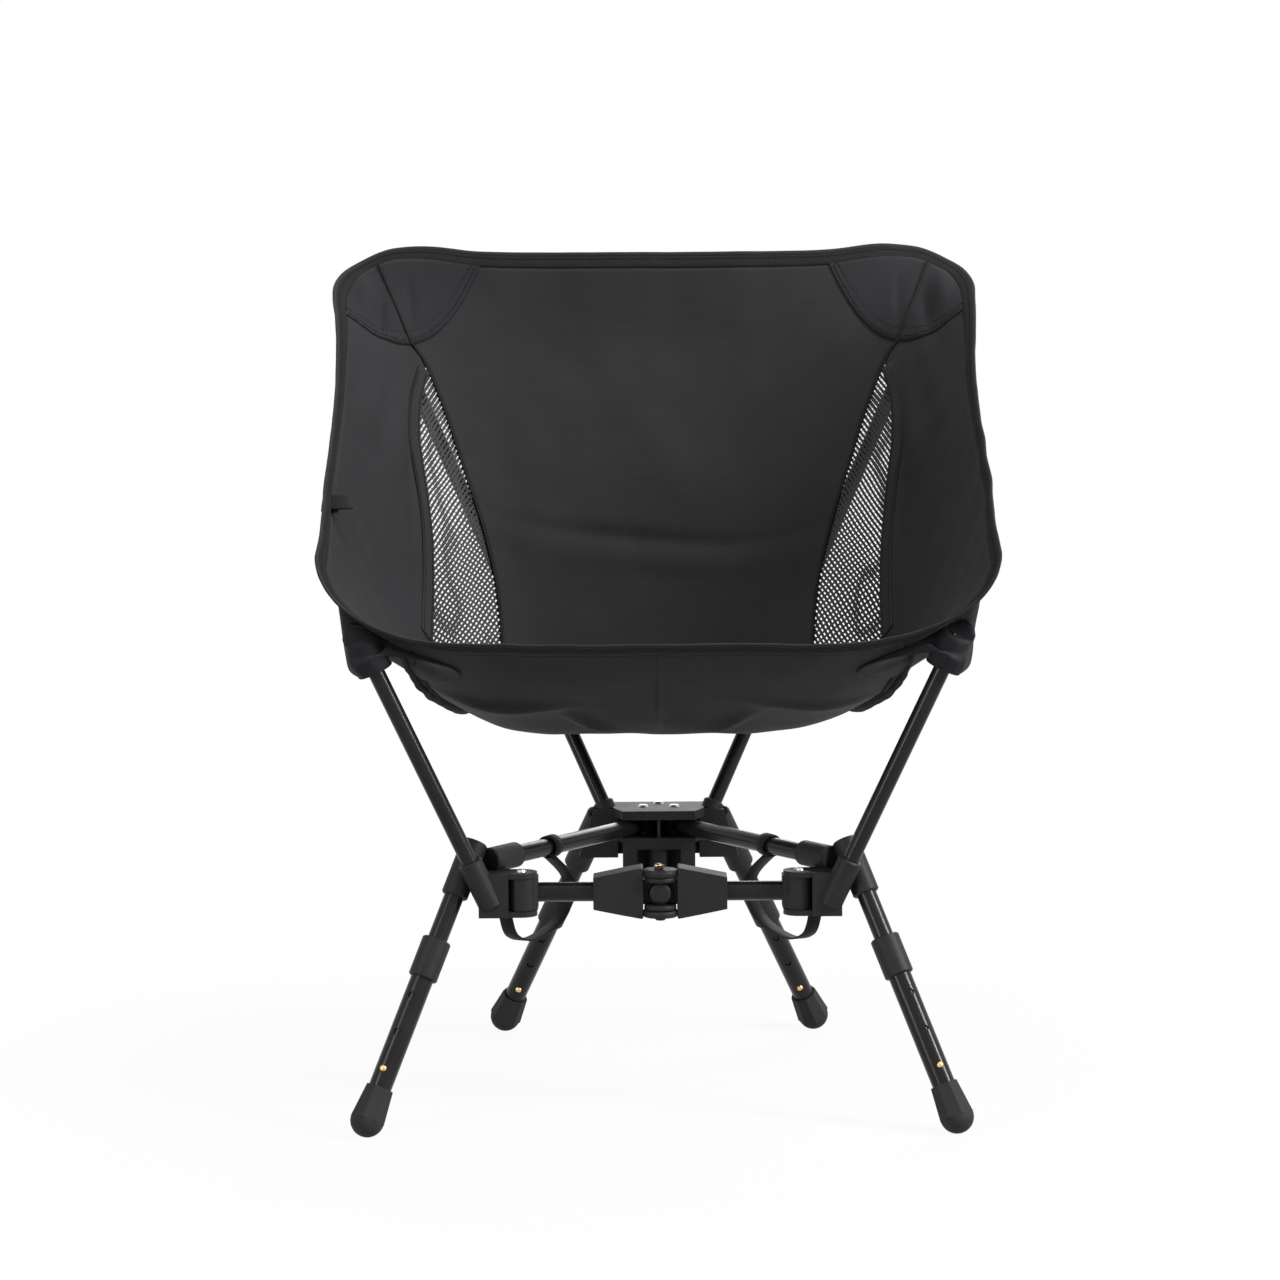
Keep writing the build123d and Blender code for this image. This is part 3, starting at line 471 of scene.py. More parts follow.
def fold_height(u, v):
    """How far soft folds, sags and the poles' tips push the cloth out from its smooth shape."""
    side = abs(u)
    height = 0.0018 * noise.noise(Vector((u * 3.1, v * 6.0, 2.0)))
    height += 0.0010 * noise.noise(Vector((u * 9.0, v * 15.0, 7.0)))
    # a shallow double crease across the foot of the back
    height += crease(-0.0022, v, (0.37 + 0.010 * sin(4 * u), 0.010), side, (0.0, 0.40))
    height += crease(0.0014, v, (0.40 + 0.012 * sin(3 * u), 0.014), side, (0.0, 0.40))
    # the rear pole's tip under the top corner, with creases beside it
    height += crease(0.0050, v, (0.085, 0.045), side, (0.95, 0.035))
    height += crease(-0.0038, v, (0.125 + 0.5 * (side - 0.893), 0.040), side, (0.893, 0.014))
    height += crease(-0.0016, v, (0.075, 0.035), side, (0.80, 0.012))
    # pull lines from the corners, and a slack fold beside the mesh
    height += crease(0.0011, v, (0.30, 0.16), side, (0.90, 0.09)) * sin(70 * (side - 0.25 * v))
    height += crease(-0.0020, v, (0.36, 0.16), side, (0.815 - 0.06 * v, 0.016))
    # ripples and creases across the bottom of the bowl, not quite the same on both sides
    height += crease(0.0030, v, (0.80, 0.10), side, (0.38, 0.24)) * sin(30 * v + 6 * side)
    bowl_crease_v, bowl_crease = (0.866, -0.0055) if u < 0 else (0.858 - 0.10 * (side - 0.45), -0.0040)
    height += crease(bowl_crease, v, (bowl_crease_v, 0.013), side, (0.47, 0.17))
    height += crease(-0.0040, v, (0.80 + 0.45 * (side - 0.22), 0.016), side, (0.22, 0.07))
    height += crease(-0.0018, v, (0.87, 0.05), u, (0.01 + 0.3 * (v - 0.87), 0.018))
    return height


def corner_lift(u, v):
    """The top hem stands a little proud where the rear poles push the corners up."""
    side = abs(u)
    lift = 0.0050 * bell(side, 0.76, 0.13) * bell(v, 0.0, 0.05)
    spread = -0.0040 * side ** 4 * bell(v, 0.0, 0.16) if u < 0 else 0.0
    return Vector((spread, 0, lift))


def seat_point(u, v):
    return bare_point(u, v) + seat_normal(u, v) * fold_height(u, v) + corner_lift(u, v)


def through(points, x):
    """The height at x of a smooth line through points."""
    last = len(points) - 1
    index = min(max(sum(1 for point in points if point[0] <= x) - 1, 0), last - 1)

    def slope(at):
        before, after = points[max(at - 1, 0)], points[min(at + 1, last)]
        return (after[1] - before[1]) / (after[0] - before[0])

    (x0, y0), (x1, y1) = points[index], points[index + 1]
    gap = x1 - x0
    t = min(max((x - x0) / gap, 0), 1)
    return (y0 * (1 + 2 * t) * (1 - t) ** 2 + slope(index) * gap * t * (1 - t) ** 2
            + y1 * t * t * (3 - 2 * t) + slope(index + 1) * gap * t * t * (t - 1))


def mesh_inner(v):
    return through(MESH_INNER if v > MESH_TOP_V else SIDE_SEAM, v)


def mesh_outer(v):
    return through(MESH_OUTER if v > MESH_TOP_V else SIDE_SEAM, v)


def under_seam(v):
    return through(UNDER_SEAM, v)


def rounding(distance, length, depth):
    """How far a rounded corner draws the edge in, at a distance from the end of the edge."""
    if distance >= length:
        return 0.0
    return depth * (1 - sqrt(1 - (1 - max(distance, 0) / length) ** 2))


def edge_u(v):
    """The seat's outer edge, with its rounded corners."""
    round_off = rounding(v, BACK_ROUND_V, BACK_ROUND_U) + rounding(1 - v, FRONT_ROUND_V, FRONT_ROUND_U)
    return 1 - round_off - SIDE_BOW_U * bell(v, SIDE_BOW_V, SIDE_BOW_WIDTH)


def back_edge(v):
    return min(mesh_inner(v), edge_u(v))


SEAM_TOP_V = next(v for v in (step / SEAM_SEARCH_STEPS for step in range(SEAM_SEARCH_STEPS))
                  if mesh_outer(v) < edge_u(v))


def cloth_panel(name, low, high, v_low, v_high, material, columns, rows, side=1, lift=0.0, thickness=CLOTH):
    """A panel of the seat between two seams. low and high give each seam's u at a v."""
    points, uvs = [], []
    for row in range(rows + 1):
        v = v_low + (v_high - v_low) * row / rows
        for column in range(columns + 1):
            u = (low(v) + (high(v) - low(v)) * column / columns) * side
            points.append(seat_point(u, v) + seat_normal(u, v) * lift)
            uvs.append((u * BACK_CORNER.x, v * SEAT_LENGTH))
    piece = new_piece(name, points, grid_faces(rows + 1, columns + 1), material, uvs)
    thicken(piece, thickness)
    return piece


def thicken(piece, thickness):
    solid = piece.modifiers.new("thickness", "SOLIDIFY")
    solid.thickness = thickness
    solid.offset = 0


def blend_with_arm(piece):
    """Bakes the piece's transform into its points; it is not tied to the arm or the frame."""
    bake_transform(piece)


CUT_ROWS, CUT_COLUMNS = 40, 24


def cut_area(low, high, v_low, v_high):
    """A panel's width, length and area on the seat, in metres, for its flat cut."""
    across, area = [], 0.0
    for row in range(CUT_ROWS + 1):
        v = v_low + (v_high - v_low) * row / CUT_ROWS
        across.append([bare_point(low(v) + (high(v) - low(v)) * k / CUT_COLUMNS, v)
                       for k in range(CUT_COLUMNS + 1)])
    for above, below in zip(across, across[1:]):
        for a, b, c, d in zip(above, above[1:], below, below[1:]):
            area += (b - a).cross(c - a).length / 2
            area += (d - b).cross(d - c).length / 2
    width = max(sum((b - a).length for a, b in zip(places, places[1:])) for places in across)
    length = max(sum((below[k] - above[k]).length for above, below in zip(across, across[1:]))
                 for k in (0, CUT_COLUMNS // 2, CUT_COLUMNS))
    return width, length, area


def stretched(piece, low, high, v_low, v_high, hangs_from):
    width, length, area = cut_area(low, high, v_low, v_high)
    length = max(length, area / width)


back_seams = (lambda v: -back_edge(v), back_edge, 0, BACK_SEAM_V)
back_panel = cloth_panel("back_cloth", *back_seams, OXFORD, 72, 90)
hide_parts("back_panel")
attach(back_panel, "frame")
stretched(back_panel, *back_seams, ["rear_pole_left", "rear_pole_right"])

wing_seams = (mesh_outer, edge_u, SEAM_TOP_V, 1)
netting_seams = (mesh_inner, mesh_outer, MESH_TOP_V, BACK_SEAM_V)
seat_seams = (lambda v: 0.0, mesh_outer, BACK_SEAM_V, 1)
for name, side in SIDES:
    rear_pole, front_pole = f"rear_pole_{name}", f"front_pole_{name}"
    wing = cloth_panel(f"wing_cloth_{name}", *wing_seams, OXFORD, 22, 130, side)
    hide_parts(f"side_wing_{name}")
    blend_with_arm(wing)
    stretched(wing, *wing_seams, [rear_pole, front_pole])
    netting = cloth_panel(f"netting_{name}", *netting_seams, MESH, 14, 60, side, thickness=NETTING)
    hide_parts(f"mesh_panel_{name}")
    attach(netting, "frame")
    stretched(netting, *netting_seams, [rear_pole])
    seat = cloth_panel(f"seat_cloth_{name}", *seat_seams, OXFORD, 40, 70, side)
    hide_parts(f"seat_panel_{name}")
    blend_with_arm(seat)
    stretched(seat, *seat_seams, [front_pole])


# ---- edge binding ----
BINDING_WIDTH = 0.0095
BINDING_STAND = 0.0011


EDGE_STEPS, CORNER_STEPS = 60, 24


def outline(side):
    """Half of the seat's outline as (u, v), from the middle of the top hem to the front hem."""
    turns = [pi / 2 * step / CORNER_STEPS for step in range(CORNER_STEPS + 1)]
    steps = [(u / EDGE_STEPS * (1 - BACK_ROUND_U), 0.0) for u in range(EDGE_STEPS)]
    steps += [(1 - BACK_ROUND_U * (1 - sin(turn)), BACK_ROUND_V * (1 - cos(turn))) for turn in turns]
    steps += [(1.0, BACK_ROUND_V + (1 - BACK_ROUND_V - FRONT_ROUND_V) * step / EDGE_STEPS)
              for step in range(1, EDGE_STEPS)]
    steps += [(1 - FRONT_ROUND_U * (1 - cos(turn)), 1 - FRONT_ROUND_V * (1 - sin(turn))) for turn in turns]
    steps += [((1 - FRONT_ROUND_U) * (1 - u / EDGE_STEPS), 1.0) for u in range(1, EDGE_STEPS + 1)]
    return [((u - SIDE_BOW_U * bell(v, SIDE_BOW_V, SIDE_BOW_WIDTH)) * side, v) for u, v in steps]


def edge_frames(side):
    """Along half of the outline: the point, the way into the cloth, and the way out of its face."""
    path = outline(side)
    places = [seat_point(u, v) for u, v in path]
    frames = []
    for index, (u, v) in enumerate(path):
        along = (places[min(index + 1, len(path) - 1)] - places[max(index - 1, 0)]).normalized()
        if index in (0, len(path) - 1):
            along = Vector((along.x, 0, 0)).normalized()
        out = seat_normal(u, v)
        inward = out.cross(along) * side
        inward = (inward - out * inward.dot(out)).normalized()
        frames.append((places[index], inward, out))
    return frames


def band(name, frames, profile, material):
    """A strip with one cross-section all along the frames; profile is (inward, outward) in metres."""
    points, uvs, length = [], [], 0.0
    for index, (place, inward, out) in enumerate(frames):
        length += (place - frames[max(index - 1, 0)][0]).length
        pucker = 1 + 0.18 * noise.noise(Vector((length * 160, 0.0, 3.0)))
        for reach, rise in profile:
            points.append(place + inward * reach + out * (rise * pucker))
            uvs.append((reach, length))
    piece = new_piece(name, points, grid_faces(len(frames), len(profile), closed=True), material, uvs)
    return piece


FOLDED = [(1.0, 0.7), (0.97, 1.2), (0.80, 1.35), (0.72, 1.0), (0.62, 1.3), (0.3, 1.4), (0.05, 1.3),
          (-0.06, 0.8), (-0.09, 0.0)]
BINDING_PROFILE = [(reach * BINDING_WIDTH, rise * BINDING_STAND) for reach, rise in FOLDED]
BINDING_PROFILE += [(reach, -rise) for reach, rise in BINDING_PROFILE[-2::-1]]
STITCH_REACH = 0.72 * BINDING_WIDTH
TURNED_HEM = [(0.0085, 0.0008), (0.0128, 0.0009), (0.0134, 0.0), (0.0128, -0.0009), (0.0085, -0.0008)]


# ---- stitches ----
STITCH_AROUND = 5
STITCH_RINGS = ((-0.5, 0.35), (-0.3, 1.0), (0.3, 1.0), (0.5, 0.35))
STITCH_FACES = capped_faces(len(STITCH_RINGS), STITCH_AROUND)


def stitch_row(name, line, material, pitch=0.0034, length=0.0025, radius=0.00036):
    """Short stitches along a line of (point, normal) pairs."""
    points, faces, travelled, target = [], [], 0.0, pitch
    for (start, start_out), (end, end_out) in zip(line, line[1:]):
        step = (end - start).length
        along = (end - start).normalized()
        while target <= travelled + step:
            t = (target - travelled) / step
            middle_point, out = start.lerp(end, t), start_out.lerp(end_out, t).normalized()
            across = along.cross(out)
            base = len(points)
            for reach, size in STITCH_RINGS:
                centre = middle_point + along * (reach * length) + out * ((size - 1) * radius)
                points += circle(centre, across, out, radius * size, STITCH_AROUND)
            faces += [tuple(base + index for index in face) for face in STITCH_FACES]
            target += pitch
        travelled += step
    piece = new_piece(name, points, faces, material)
    return piece


def seat_line(path, side, lift):
    """(point, normal) pairs along (u, v) places on the seat, lifted off the cloth."""
    line = []
    for u, v in path:
        out = seat_normal(u * side, v)
        line.append((seat_point(u * side, v) + out * lift, out if lift > 0 else -out))
    return line


def down_seam(seam, v_low, v_high, shift=0.0, steps=60):
    """(u, v) places down a seam, shifted sideways in u."""
    return [(seam(v) + shift, v) for v in (v_low + (v_high - v_low) * k / steps for k in range(steps + 1))]


# ---- corner patches ----
PATCH_LIFT = 0.0011
PATCH_STEPS, PATCH_ROWS = 48, 16


def patch_edge(t):
    """The patch's curved edge as (u, v), from the top hem at 0 to the side at 1."""
    return PATCH_START_U + (1 - PATCH_START_U) * t, PATCH_END_V * (1 - (1 - t) ** PATCH_POWER)


def patch_rim():
    """The seat's outline across from patch_edge, evenly spaced."""
    corner = [Vector((u, v, 0)) for u, v in outline(1)
              if v < PATCH_END_V and (v > 0 or u > PATCH_START_U)]
    return along_curve([PATCH_NEAR[0], *corner, PATCH_NEAR[-1]], PATCH_STEPS)[0]


PATCH_NEAR = [Vector((*patch_edge(step / PATCH_STEPS), 0)) for step in range(PATCH_STEPS + 1)]
PATCH_RIM = patch_rim()


def corner_patch(name, side):
    points, uvs = [], []
    for step, (near, far) in enumerate(zip(PATCH_NEAR, PATCH_RIM)):
        t = step / PATCH_STEPS
        for row in range(PATCH_ROWS + 1):
            share = row / PATCH_ROWS
            u, v, _ = near.lerp(far, share)
            pad = PATCH_LIFT + 0.0010 * sin(pi * share) * sin(pi * t)
            pad += 0.0003 * sin(95 * t) * bell(share, 0.06, 0.08)
            points.append(seat_point(u * side, v) + seat_normal(u * side, v) * pad)
            uvs.append((u * side * BACK_CORNER.x, v * SEAT_LENGTH))
    piece = new_piece(name, points, grid_faces(PATCH_STEPS + 1, PATCH_ROWS + 1), PATCH_CLOTH, uvs)
    thicken(piece, 0.0009)
    return piece


def patch_row(side, inset, lift):
    """A line of stitches' places just inside the patch's curved edge."""
    places = [near + (far - near).normalized() * inset
              for near, far in zip(PATCH_NEAR[1:-1], PATCH_RIM[1:-1])]
    return seat_line([(place.x, place.y) for place in places], side, lift)


# ---- trims of each half ----
# how far each part stands off the cloth, in metres
CORD_LIFT, CORD_LIFT_OVER_PATCH, PATCH_ROW_LIFT = 0.0009, 0.0018, PATCH_LIFT + 0.0007
INNER_ROW_LIFT, HEM_LIFT, HEM_ROW_LIFT = 0.0006, 0.0008, 0.0015
UNDER_TAPE_LIFT, UNDER_ROW_LIFT, SEAT_ROW_LIFT = -0.0012, -0.0019, 0.0007
# the v where the cord starts to come down off the patch, and how far it takes
CORD_DOWN_V, CORD_DOWN_REACH = 0.135, 0.03
# distances from a seam or an edge, in u or v
PATCH_ROW_INSETS = (0.010, 0.024)
INNER_ROW = 0.010
HEM_INNER, HEM_OUTER, HEM_ROWS = 0.012, 0.022, (-0.006, 0.016)
UNDER_TAPE_HALF, UNDER_ROWS = 0.022, (-0.016, 0.016)
UNDER_TOP_V, UNDER_END_V = 0.58, 0.985
TURNED_TOP_V, TURNED_END_V, TURNED_STEPS = 0.585, 0.975, 90
TURNED_DEPTHS = (0.0012, 0.0035, 0.0060)
SEAT_ROWS = (-0.006, 0.006)
trims = {}


def trim(piece, sheet_name, side=0):
    """Files a sewn-on piece under its sheet; with a side, its transform is baked into its points, and
    without one it is attached to the frame.
    """
    trims.setdefault(sheet_name, []).append(piece)
    if side:
        blend_with_arm(piece)
    else:
        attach(piece, "frame")


for name, side in SIDES:
    wing_name, seat_name = f"wing_cloth_{name}", f"seat_cloth_{name}"
    frames = edge_frames(side)
    trim(band(f"edge_binding_{name}", frames, BINDING_PROFILE, TAPE), wing_name, side)
    trim(band(f"turned_hem_{name}", frames, TURNED_HEM, OXFORD), wing_name, side)
    for face, sign in (("front", 1), ("back", -1)):
        line = [(place + inward * STITCH_REACH + out * (1.25 * BINDING_STAND * sign), out * sign)
                for place, inward, out in frames]
        trim(stitch_row(f"binding_stitches_{face}_{name}", line, THREAD), wing_name, side)

    trim(corner_patch(f"corner_patch_{name}", side), "back_cloth")
    for row, inset in enumerate(PATCH_ROW_INSETS):
        line = patch_row(side, inset, PATCH_ROW_LIFT)
        trim(stitch_row(f"patch_stitches_{row + 1}_{name}", line, THREAD, radius=0.0005), "back_cloth")

    # the seam from the top hem to the mesh, then down the mesh's inner edge
    upper = down_seam(mesh_inner, SEAM_TOP_V, MESH_TOP_V, steps=40)
    lower = down_seam(mesh_inner, MESH_TOP_V, BACK_SEAM_V)
    line = []
    for u, v in upper + lower[1:]:
        down = min(max((v - CORD_DOWN_V) / CORD_DOWN_REACH, 0), 1)
        line += seat_line([(u, v)], side, CORD_LIFT + CORD_LIFT_OVER_PATCH * (1 - down))
    seam = tube(f"seam_cord_{name}", [point for point, _ in line], 0.0010, THREAD, 6)
    trim(seam, "back_cloth")
    inner_places = down_seam(mesh_inner, MESH_TOP_V + 0.01, BACK_SEAM_V, INNER_ROW)
    inner_row = seat_line(inner_places, side, INNER_ROW_LIFT)
    pale_row = stitch_row(f"mesh_stitches_inner_{name}", inner_row, PALE_THREAD, 0.0030, 0.0013, 0.0003)
    trim(pale_row, "back_cloth")

    # the folded hem of the wing along the mesh
    fold = cloth_panel(f"mesh_hem_{name}", lambda v: mesh_outer(v) - HEM_INNER,
                       lambda v: mesh_outer(v) + HEM_OUTER, MESH_TOP_V + 0.004, BACK_SEAM_V, OXFORD,
                       5, 60, side, lift=HEM_LIFT, thickness=0.0009)
    trim(fold, wing_name, side)
    for row, shift in enumerate(HEM_ROWS):
        outer_places = down_seam(mesh_outer, MESH_TOP_V + 0.01, BACK_SEAM_V, shift)
        outer_row = seat_line(outer_places, side, HEM_ROW_LIFT)
        stitches = stitch_row(f"mesh_stitches_outer_{row + 1}_{name}", outer_row, THREAD)
        trim(stitches, wing_name, side)

    # the seat's side seam: a tape and the turned edge of the cloth on the underside
    tape = cloth_panel(f"under_tape_{name}", lambda v: under_seam(v) - UNDER_TAPE_HALF,
                       lambda v: under_seam(v) + UNDER_TAPE_HALF, UNDER_TOP_V, UNDER_END_V, TAPE,
                       4, 60, side, lift=UNDER_TAPE_LIFT, thickness=0.0010)
    trim(tape, seat_name, side)
    points, uvs = [], []
    for u, v in down_seam(under_seam, TURNED_TOP_V, TURNED_END_V, steps=TURNED_STEPS):
        out = seat_normal(u * side, v)
        wave = 0.0012 * noise.noise(Vector((v * 40, 1.0, 5.0)))
        for depth in TURNED_DEPTHS:
            lean = 0.3 * depth + wave * depth / TURNED_DEPTHS[-1]
            points.append(seat_point(u * side, v) - out * depth + X * (side * lean))
            uvs.append((depth, v * SEAT_LENGTH))
    turned_faces = grid_faces(TURNED_STEPS + 1, len(TURNED_DEPTHS))
    turned = new_piece(f"turned_seam_{name}", points, turned_faces, TAPE, uvs)
    thicken(turned, 0.0014)
    trim(turned, seat_name, side)
    for row, shift in enumerate(UNDER_ROWS):
        under = seat_line(down_seam(under_seam, UNDER_TOP_V, UNDER_END_V, shift), side, UNDER_ROW_LIFT)
        trim(stitch_row(f"under_stitches_{row + 1}_{name}", under, THREAD), seat_name, side)

# the seam across the seat at the foot of the back
seam_end = mesh_inner(BACK_SEAM_V)
across_back = [-seam_end + 2 * seam_end * k / EDGE_STEPS for k in range(EDGE_STEPS + 1)]
for row, shift in enumerate(SEAT_ROWS):
    line = seat_line([(u, BACK_SEAM_V + shift) for u in across_back], 1, SEAT_ROW_LIFT)
    trim(stitch_row(f"seat_stitches_{row + 1}", line, THREAD), "back_cloth")


# ---- tag loop on the left edge ----
def tag_loop(v_middle=0.785, width=0.020, reach=0.0050, sewn_in=0.0125, edge_length=0.43):
    """A folded loop of tape sewn under the edge, standing a little way out from it."""
    points, uvs = [], []
    rows, columns = 8, 12
    for row in range(rows + 1):
        v = v_middle + (row / rows - 0.5) * width / edge_length
        place, out = seat_point(-edge_u(v), v), seat_normal(-edge_u(v), v)
        for column in range(columns + 1):
            turn = pi * column / columns
            stand = reach * sin(turn) - sewn_in * (1 - sin(turn))
            puff = 0.0020 + 0.0045 * row / rows
            points.append(place - X * stand + out * (puff * cos(turn)))
            uvs.append((row / rows * width, column / columns * 0.03))
    loop = new_piece("tag_loop", points, grid_faces(rows + 1, columns + 1), TAPE, uvs)
    thicken(loop, 0.0011)
    return loop


trim(tag_loop(), "wing_cloth_left", -1)


# ---- pole pockets ----
FRONT_POLE = (Vector((0.132, -0.136, 0.168)), Vector((0.228, -0.1618, 0.3779)))
REAR_POLE = (Vector((0.0338, 0.0678, 0.188)), Vector((0.250, 0.1999, 0.660)))
# u_range and v_range: where the pocket is sewn on; point_end: how narrow it gets at its inner end
FRONT_POCKET = {"depth": 0.0290, "mouth_r": 0.0130, "u_range": (0.60, 0.985), "v_range": (0.83, 0.984),
                "point_end": 0.45, "over_tip": 0}
BACK_POCKET = {"depth": 0.0615, "mouth_r": 0.0100, "u_range": (0.76, 0.975), "v_range": (0.004, 0.17),
               "point_end": 1.0, "over_tip": 1}
POCKET_AROUND, POCKET_ROWS = 64, 26
POCKET_UNDER_SEAT = 0.0016
WAIST_DOWN, WAIST_R = 0.55, 1.25
CROWN_UP, CROWN_R, CROWN_SHARE = 0.006, 0.9, 0.45
TIP_CLEAR_R = 0.95
GATHERS, GATHER_DEPTH, RIPPLE = 7, 0.10, 0.0016


def round_the_tip(tip, axis, point, clear_r):
    """The point moved out of the room the pole's tip needs."""
    away = point - tip
    beyond = away.dot(axis)
    if beyond < 0:
        away = away - axis * beyond
    if away.length < clear_r:
        point = point + away.normalized() * (clear_r - away.length)
    return point


def pole_pocket(name, side, pole, depth, mouth_r, u_range, v_range, point_end, over_tip):
    """Cloth sewn to the seat around a pole's tip, gathered to a round mouth on the pole."""
    foot, tip = (Vector((end.x * side, end.y, end.z)) for end in pole)
    axis = (tip - foot).normalized()
    outwards = (X * side - axis * axis.dot(X * side)).normalized()
    rearwards = (Y - axis * axis.dot(Y) - outwards * outwards.dot(Y)).normalized()
    u_middle, u_half = sum(u_range) / 2, (u_range[1] - u_range[0]) / 2
    v_half = (v_range[1] - v_range[0]) / 2
    around, points, uvs = POCKET_AROUND, [], []
    for row in range(POCKET_ROWS + 1):
        down = row / POCKET_ROWS
        for step in range(around):
            turn = 2 * pi * step / around
            u = (u_middle + u_half * cos(turn)) * side
            taper = 1 - (1 - point_end) * (1 - cos(turn)) / 2
            v = v_range[1] - v_half * (1 + sin(turn)) * taper
            sewn = seat_point(u, v) - seat_normal(u, v) * POCKET_UNDER_SEAT
            spoke = outwards * cos(turn) + rearwards * sin(turn)
            gather = 1 + GATHER_DEPTH * sin(GATHERS * turn + 1.0) * down * (1 - down) * 2
            mouth = tip - axis * depth + spoke * mouth_r
            waist = tip - axis * (depth * WAIST_DOWN) + spoke * (mouth_r * WAIST_R * gather)
            crown = tip + axis * CROWN_UP + spoke * (mouth_r * CROWN_R)
            cover = over_tip * max(sin(turn) * 0.7 + 0.3, 0)
            crown = sewn.lerp(waist, CROWN_SHARE).lerp(crown, min(cover, 1))
            point = curve_at((sewn, crown, waist, mouth), min(down, 0.9999) * 3)
            ripple = noise.noise(Vector((cos(turn) * 3, sin(turn) * 3, down * 5 + side)))
            point += spoke * (RIPPLE * ripple * sin(pi * down))
            points.append(round_the_tip(tip, axis, point, mouth_r * TIP_CLEAR_R))
            uvs.append((step / around * 0.12, down * depth))
    faces = grid_faces(POCKET_ROWS + 1, around, closed=True)
    pocket = new_piece(name, points, faces, POCKET_CLOTH, uvs)
    thicken(pocket, 0.0010)
    ring = points[-around:]
    ring = [point + axis * 0.001 for point in ring + ring[:2]]
    hem = tube(f"{name}_hem", ring, 0.0012, TAPE, 8)
    loop_length = sum((b - a).length for a, b in zip(points[:around], points[1:around]))
    return pocket, hem


for name, side in SIDES:
    pocket, hem = pole_pocket(f"front_pocket_cloth_{name}", side, FRONT_POLE, **FRONT_POCKET)
    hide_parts(f"front_pocket_{name}")
    blend_with_arm(pocket)
    trim(hem, pocket.name, side)
    pocket, hem = pole_pocket(f"back_pocket_cloth_{name}", side, REAR_POLE, **BACK_POCKET)
    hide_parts(f"back_pocket_{name}")
    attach(pocket, "frame")
    trim(hem, pocket.name)


# ---- strap loops under the arms ----
STRAP_WIDTH, STRAP_THICKNESS = 0.012, 0.0014
ARM_Z = 0.199
ARM_AT_STRAP = Vector((0.0875, -0.0494, ARM_Z))
STRAP_ANCHOR = Vector((0.121, -0.120, 0.1568))
STRAP_RUN = ((0.0, 0.1906), (-0.42, 0.166), (-0.20, 0.139), (0.42, 0.130), (0.85, 0.138), (1.0, 0.1568))
SLEEVE_R = 0.0084


def ribbon(name, path, wide, material):
    """A flat strap of rounded cross-section through the points of a path."""
    half, thin = STRAP_WIDTH / 2, STRAP_THICKNESS / 2
    flat = half * 0.93
    section = [(half, 0), (flat, thin), (-flat, thin), (-half, 0), (-flat, -thin), (flat, -thin)]

    def ring(point, along):
        up = along.cross(wide).normalized()
        return [point + wide * across + up * rise for across, rise in section]

    piece = swept(name, path, ring, [across for across, _ in section], material)
    return piece


for name, side in SIDES:
    start = Vector((ARM_AT_STRAP.x * side, ARM_AT_STRAP.y, ARM_Z))
    anchor = Vector((STRAP_ANCHOR.x * side, STRAP_ANCHOR.y, STRAP_ANCHOR.z))
    run = anchor - start
    run.z = 0
    wide = run.cross(Z).normalized()
    route = [start + run * along + Z * (height - ARM_Z) for along, height in STRAP_RUN]
    strap = ribbon(f"strap_webbing_{name}", along_curve(route, 60)[0], wide, WEBBING)
    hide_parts(f"strap_{name}")
    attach(strap, f"arm_{name}")
    sleeve_path = circle(start, wide, Z, SLEEVE_R, 40, extra=2)
    sleeve = ribbon(f"strap_sleeve_{name}", sleeve_path, run.normalized(), WEBBING)
    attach(sleeve, f"arm_{name}")


# ---- centre hinge ----
HINGE = Vector((0, -0.122, 0.1745))
# the eyes turn about the bar's own pivot line, a little in front of the housing's middle
HINGE_PIN = HINGE - Y * 0.006
HINGE_OUTER_X, HINGE_INNER_X = 0.052, 0.0132
HINGE_OUTER_HALF, HINGE_INNER_HALF = 0.0125, 0.0200
HINGE_HALF_DEPTH = 0.012
# each eye as its half of the hinge, height above the bar's line, thickness and radius
EYES = (("left", 0.0130, 0.0052, 0.0136), ("right", 0.0088, 0.0038, 0.0125),
        ("right", -0.0132, 0.0040, 0.0125), ("left", -0.0186, 0.0050, 0.0136))
CORE_HALF_WIDTH, CORE_FRONT, CORE_BACK, CORE_HALF_HEIGHT = 0.0138, -0.0052, 0.0105, 0.0095
BUTTON_R, BUTTON_HEIGHT, BUTTON_FRONT = 0.0083, 0.0052, 0.0080
RING_R, RING_THREAD_R, RING_FRONT = BUTTON_R + 0.0015, 0.0011, 0.0072
SCREW_R, SCREW_HEIGHT = 0.0030, 0.0040


def bevelled(piece, width, segments=3):
    edge = piece.modifiers.new("soft_edges", "BEVEL")
    edge.width = width
    edge.segments = segments
    edge.limit_method = "ANGLE"
    return piece


def hinge_wedge(name, side):
    """Half of the hinge's housing: a block that grows taller towards the middle."""
    section = [(HINGE_OUTER_X, HINGE_OUTER_HALF), (0.030, 0.0170),
               (HINGE_INNER_X + 0.001, HINGE_INNER_HALF), (HINGE_INNER_X, HINGE_INNER_HALF - 0.001)]
    section += [(x, -z) for x, z in section[::-1]]
    points = []
    for depth in (-HINGE_HALF_DEPTH, HINGE_HALF_DEPTH):
        points += [HINGE + Vector((x * side, depth, z)) for x, z in section]
    count = len(section)
    faces = [tuple(range(count)), tuple(range(2 * count - 1, count - 1, -1))]
    faces += [(k, k + count, (k + 1) % count + count, (k + 1) % count) for k in range(count)]
    if side < 0:
        faces = [face[::-1] for face in faces]
    return bevelled(new_piece(name, points, faces, MOULDED, smooth=False), 0.0011)


